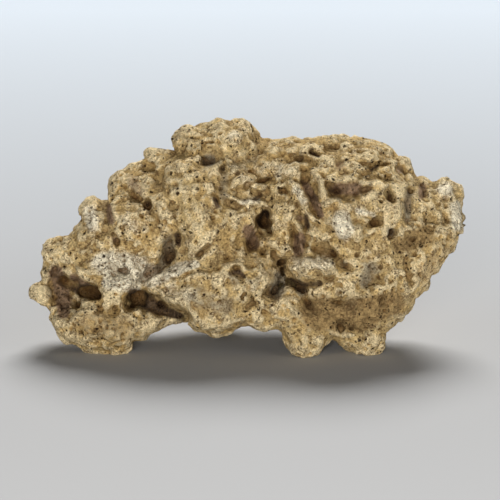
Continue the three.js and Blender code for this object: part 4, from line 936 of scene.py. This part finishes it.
def makeStoneMaterial():
    material = bpy.data.materials.new("reef stone")
    material.use_nodes = True
    tree = material.node_tree
    tree.nodes.clear()
    link = tree.links.new

    def node(kind, **settings):
        made = tree.nodes.new(kind)
        for key, value in settings.items():
            setattr(made, key, value)
        return made

    def socket(value, target):
        if isinstance(value, bpy.types.NodeSocket):
            link(value, target)
        else:
            target.default_value = value

    def maths(operation, a, b=0.0, clamp=False):
        made = node("ShaderNodeMath", operation=operation, use_clamp=clamp)
        socket(a, made.inputs[0])
        socket(b, made.inputs[1])
        return made.outputs[0]

    def ramp(value, low, high, toLow=0.0, toHigh=1.0):
        made = node("ShaderNodeMapRange", interpolation_type="SMOOTHSTEP")
        for n, part in enumerate((value, low, high, toLow, toHigh)):
            socket(part, made.inputs[n])
        return made.outputs[0]

    def mixColour(share, a, b):
        made = node("ShaderNodeMix", data_type="RGBA")
        socket(share, made.inputs[0])
        socket(a if isinstance(a, bpy.types.NodeSocket) else (*a, 1), made.inputs[6])
        socket(b if isinstance(b, bpy.types.NodeSocket) else (*b, 1), made.inputs[7])
        return made.outputs[2]

    place = node("ShaderNodeTexCoord").outputs["Object"]

    def noise(scale, detail=4.0, rough=0.6, distortion=0.0):
        made = node("ShaderNodeTexNoise")
        link(place, made.inputs["Vector"])
        made.inputs["Scale"].default_value = scale
        made.inputs["Detail"].default_value = detail
        made.inputs["Roughness"].default_value = rough
        made.inputs["Distortion"].default_value = distortion
        return made.outputs["Fac"]

    def attribute(name):
        return node("ShaderNodeAttribute", attribute_name=name).outputs["Fac"]

    def dots(scale, smallest, largest):  # pits of mixed sizes, 1 in the middle of a dot
        wobble = node("ShaderNodeVectorMath", operation="ADD")
        bent = node("ShaderNodeTexNoise")
        link(place, bent.inputs["Vector"])
        bent.inputs["Scale"].default_value = scale * 2.6
        small = node("ShaderNodeVectorMath", operation="SCALE")
        link(bent.outputs["Color"], small.inputs[0])
        small.inputs["Scale"].default_value = 0.75 / scale
        link(place, wobble.inputs[0])
        link(small.outputs[0], wobble.inputs[1])
        made = node("ShaderNodeTexVoronoi")
        link(wobble.outputs[0], made.inputs["Vector"])
        made.inputs["Scale"].default_value = scale
        pick = node("ShaderNodeSeparateColor")
        link(made.outputs["Color"], pick.inputs[0])
        size = ramp(pick.outputs[0], 0.42, 1.05, smallest, largest)
        inner = maths("MULTIPLY", size, 0.7)
        return maths("SUBTRACT", 1.0, ramp(made.outputs["Distance"], inner, size))

    look = stoneLook
    hollow, deep = attribute("hollow"), attribute("deep")
    noises = look["noises"]
    drift, mottle, speck, fleck = (noise(*noises[name]) for name in ("drift", "mottle", "speck", "fleck"))

    colour = mixColour(ramp(drift, *look["toStraw"]), look["ochre"], look["straw"])
    # cream on the raised parts, partly a painted highlight on the knolls
    creamAndKnollLight = maths("SUBTRACT", mottle, maths("MULTIPLY", maths("ADD", hollow, deep), 0.35))
    colour = mixColour(ramp(creamAndKnollLight, *look["toCream"]), colour, look["cream"])
    ragged = maths("SUBTRACT", maths("ADD", mottle, maths("MULTIPLY", speck, 0.6)), 0.8)
    ragged = maths("MULTIPLY", ragged, look["tintRagged"])
    for name in ("tawnyAndShade", "bleached", "greyAndShade", "mauve", "underShadePaint"):
        share = ramp(maths("ADD", attribute(name), ragged), *look["tintEdge"])
        share = maths("MULTIPLY", share, maths("MULTIPLY", attribute(name), 1.3, True))
        colour = mixColour(share, colour, look[name])
    grit = ramp(speck, 0.34, 0.66, *look["gritShade"])
    fine = ramp(fleck, 0.3, 0.7, *look["fineShade"])
    dim = node("ShaderNodeVectorMath", operation="SCALE")
    link(colour, dim.inputs[0])
    link(maths("MULTIPLY", grit, fine), dim.inputs["Scale"])
    # brown in the hollows: partly dirt, partly painted shade
    dirtAndShadeShare = maths("MAXIMUM", ramp(hollow, 0.14, 0.6), maths("MULTIPLY", ramp(deep, 0.14, 0.7), 0.9))
    crusty = maths("ADD", mottle, maths("MULTIPLY", speck, 0.8))
    dirtAndShadeShare = maths("MULTIPLY", dirtAndShadeShare, ramp(crusty, 0.7, 1.05, 1.0, 0.35))
    tint = mixColour(dirtAndShadeShare, (1, 1, 1), look["hollowDirtAndShade"])
    # painted shade: darker towards the bottom of the deepest holes
    tint = mixColour(ramp(deep, 0.32, 0.75), tint, look["deepHoleShade"])
    knollLightDentShade = node("ShaderNodeVectorMath", operation="SCALE")  # painted highlight on the knolls and painted shade in the dents, which also hold some dirt
    link(tint, knollLightDentShade.inputs[0])
    sunken = maths("ADD", deep, maths("MULTIPLY", hollow, 0.5))
    link(ramp(sunken, -0.4, 0.5, *look["knollLightDentRange"]), knollLightDentShade.inputs["Scale"])
    tint = knollLightDentShade.outputs[0]
    dirtiedAndShaded = node("ShaderNodeVectorMath", operation="MULTIPLY")
    link(dim.outputs[0], dirtiedAndShaded.inputs[0])
    link(tint, dirtiedAndShaded.inputs[1])
    colour = dirtiedAndShaded.outputs[0]

    crumbShare = ramp(noise(*noises["crumbPatches"]), 0.36, 0.62, 0.3, 0.9)
    crumbs = maths("MULTIPLY", ramp(noise(*noises["crumbs"]), 0.54, 0.61), crumbShare)
    line = maths("ABSOLUTE", maths("SUBTRACT", noise(*noises["lines"]), 0.5))
    lineShare = ramp(noise(*noises["linePatches"]), 0.50, 0.58)
    scribble = maths("MULTIPLY", ramp(line, 0.012, 0.034, 0.85, 0.0), lineShare)
    colour = mixColour(maths("MAXIMUM", crumbs, scribble), colour, look["crumb"])

    holeShare = ramp(noise(*noises["holePatches"]), 0.36, 0.52)
    holes = maths("MULTIPLY", dots(*look["holes"]), holeShare)
    prickShare = ramp(noise(*noises["prickPatches"]), 0.36, 0.58, 0.25, 1.0)
    pricks = maths("MULTIPLY", dots(*look["pricks"]), prickShare)
    holes = maths("MAXIMUM", holes, pricks)
    # painted shade: the dots are near-black, standing for the shade inside pits too small for the mesh
    colour = mixColour(maths("MULTIPLY", holes, 0.96), colour, look["pore"])

    height = maths("ADD", maths("MULTIPLY", mottle, 0.9), maths("MULTIPLY", speck, 0.75))
    height = maths("ADD", height, maths("MULTIPLY", fleck, 0.3))
    height = maths("SUBTRACT", height, maths("MULTIPLY", maths("MAXIMUM", holes, scribble), 0.9))
    bump = node("ShaderNodeBump")
    bump.inputs["Strength"].default_value = look["bump"]
    bump.inputs["Distance"].default_value = look["bumpDepth"]
    link(height, bump.inputs["Height"])

    shader = node("ShaderNodeBsdfPrincipled")
    link(colour, shader.inputs["Base Color"])
    shader.inputs["Roughness"].default_value = look["roughness"]
    shader.inputs["Specular IOR Level"].default_value = look["specular"]
    link(bump.outputs[0], shader.inputs["Normal"])
    link(shader.outputs[0], node("ShaderNodeOutputMaterial").inputs["Surface"])
    return material


studio = {
    "floorFront": -2.6, "bend": 2.9, "bendRadius": 0.5, "bendSteps": 24, "wallTop": 0.6, "halfWidth": 4.0,
    "paperRoughness": 0.9, "paperSpecular": 0.1,
    # the paper is painted paler and bluer towards the back: painted light on the backdrop
    "floorColour": (0.455, 0.46, 0.468), "farPaintedLightColour": (0.76, 0.84, 0.93), "blendFrom": 0.05, "blendTo": 1.9,
    "airColour": (0.88, 0.94, 1.0), "airStrength": 0.035,
    "lamps": {                         # where, where to, size, watts, colour
        "front": ((-0.15, -2.2, 0.36), (0, 0, 0.08), 0.7, 35, (1.0, 0.985, 0.96)),
        "right": ((1.6, -1.3, 0.80), (0, 0, 0.08), 0.7, 5, (1.0, 0.985, 0.96)),
    },
    "window": {"from": (0.12, 0.98, 1.0), "spread": 30.0, "strength": 4.3, "colour": (1.0, 0.985, 0.96)},
}


def buildStudio():
    bends = studio["bendSteps"]
    profile = [(studio["floorFront"], 0.0), (studio["bend"], 0.0)]
    for n in range(1, bends + 1):
        angle = math.pi / 2 * n / bends
        profile.append((studio["bend"] + studio["bendRadius"] * math.sin(angle),
                        studio["bendRadius"] * (1 - math.cos(angle))))
    profile.append((profile[-1][0], studio["wallTop"]))
    points, faces = [], []
    for y, z in profile:
        points += [(-studio["halfWidth"], y, z), (studio["halfWidth"], y, z)]
    for n in range(len(profile) - 1):
        faces.append((2 * n, 2 * n + 1, 2 * n + 3, 2 * n + 2))
    mesh = bpy.data.meshes.new("paperSweep")
    mesh.from_pydata(points, [], faces)
    mesh.polygons.foreach_set("use_smooth", [True] * len(faces))
    sweep = bpy.data.objects.new("paperSweep", mesh)
    bpy.context.scene.collection.objects.link(sweep)

    material = bpy.data.materials.new("studio paper")
    material.use_nodes = True
    tree = material.node_tree
    shader = tree.nodes["Principled BSDF"]
    shader.inputs["Roughness"].default_value = studio["paperRoughness"]
    shader.inputs["Specular IOR Level"].default_value = studio["paperSpecular"]
    parts = tree.nodes.new("ShaderNodeSeparateXYZ")
    tree.links.new(tree.nodes.new("ShaderNodeTexCoord").outputs["Object"], parts.inputs[0])
    rise = tree.nodes.new("ShaderNodeMapRange")
    rise.inputs["From Min"].default_value = studio["blendFrom"]
    rise.inputs["From Max"].default_value = studio["blendTo"]
    tree.links.new(parts.outputs["Y"], rise.inputs["Value"])
    # painted light: the paper's colour brightens and turns bluer towards the back
    mix = tree.nodes.new("ShaderNodeMix")
    mix.data_type = "RGBA"
    mix.inputs[6].default_value = (*studio["floorColour"], 1)
    mix.inputs[7].default_value = (*studio["farPaintedLightColour"], 1)
    tree.links.new(rise.outputs[0], mix.inputs[0])
    tree.links.new(mix.outputs[2], shader.inputs["Base Color"])
    mesh.materials.append(material)

    world = bpy.data.worlds.new("studio air")
    bpy.context.scene.world = world
    world.use_nodes = True
    background = world.node_tree.nodes["Background"]
    background.inputs["Color"].default_value = (*studio["airColour"], 1)
    background.inputs["Strength"].default_value = studio["airStrength"]
    for name, (place, target, size, watts, colour) in studio["lamps"].items():
        light = bpy.data.lights.new(name, "AREA")
        light.shape = "SQUARE"
        light.size = size
        light.energy = watts
        light.color = colour
        holder = bpy.data.objects.new(name, light)
        holder.location = place
        holder.rotation_euler = (Vector(target) - Vector(place)).to_track_quat("-Z", "Y").to_euler()
        bpy.context.scene.collection.objects.link(holder)
    window = studio["window"]
    light = bpy.data.lights.new("window", "SUN")
    light.angle = math.radians(window["spread"])
    light.energy = window["strength"]
    light.color = window["colour"]
    holder = bpy.data.objects.new("window", light)
    holder.rotation_euler = Vector(window["from"]).to_track_quat("Z", "Y").to_euler()
    bpy.context.scene.collection.objects.link(holder)
    bpy.context.scene.view_settings.view_transform = "Standard"


photoView = {
    "mmPerPixel": 0.7, "pixels": 500, "middlePixel": (250, 250), "originPixel": (248, 350),
    "lens": 200.0, "sensor": 36.0,
}


def placeCamera():
    camera = bpy.data.cameras.new("camera")
    camera.lens = photoView["lens"]
    camera.sensor_width = photoView["sensor"]
    width = photoView["pixels"] * photoView["mmPerPixel"] / 1000
    distance = photoView["lens"] / photoView["sensor"] * width
    u = (photoView["middlePixel"][0] - photoView["originPixel"][0]) * photoView["mmPerPixel"]
    v = (photoView["originPixel"][1] - photoView["middlePixel"][1]) * photoView["mmPerPixel"]
    target = toRoom(np.array([[u, v, 0.0]]))[0]
    holder = bpy.data.objects.new("camera", camera)
    holder.location = (target[0], target[1] - distance * tiltCos, target[2] + distance * tiltSin)
    holder.rotation_euler = (math.radians(90 - sketch["tilt"]), 0, 0)
    camera.clip_end = 20
    bpy.context.scene.collection.objects.link(holder)
    bpy.context.scene.camera = holder


placeCamera()
buildStudio()
print("studio done")
rock = buildRock()
rock.data.materials.append(makeStoneMaterial())
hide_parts("reef_rock")
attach(rock, "root")
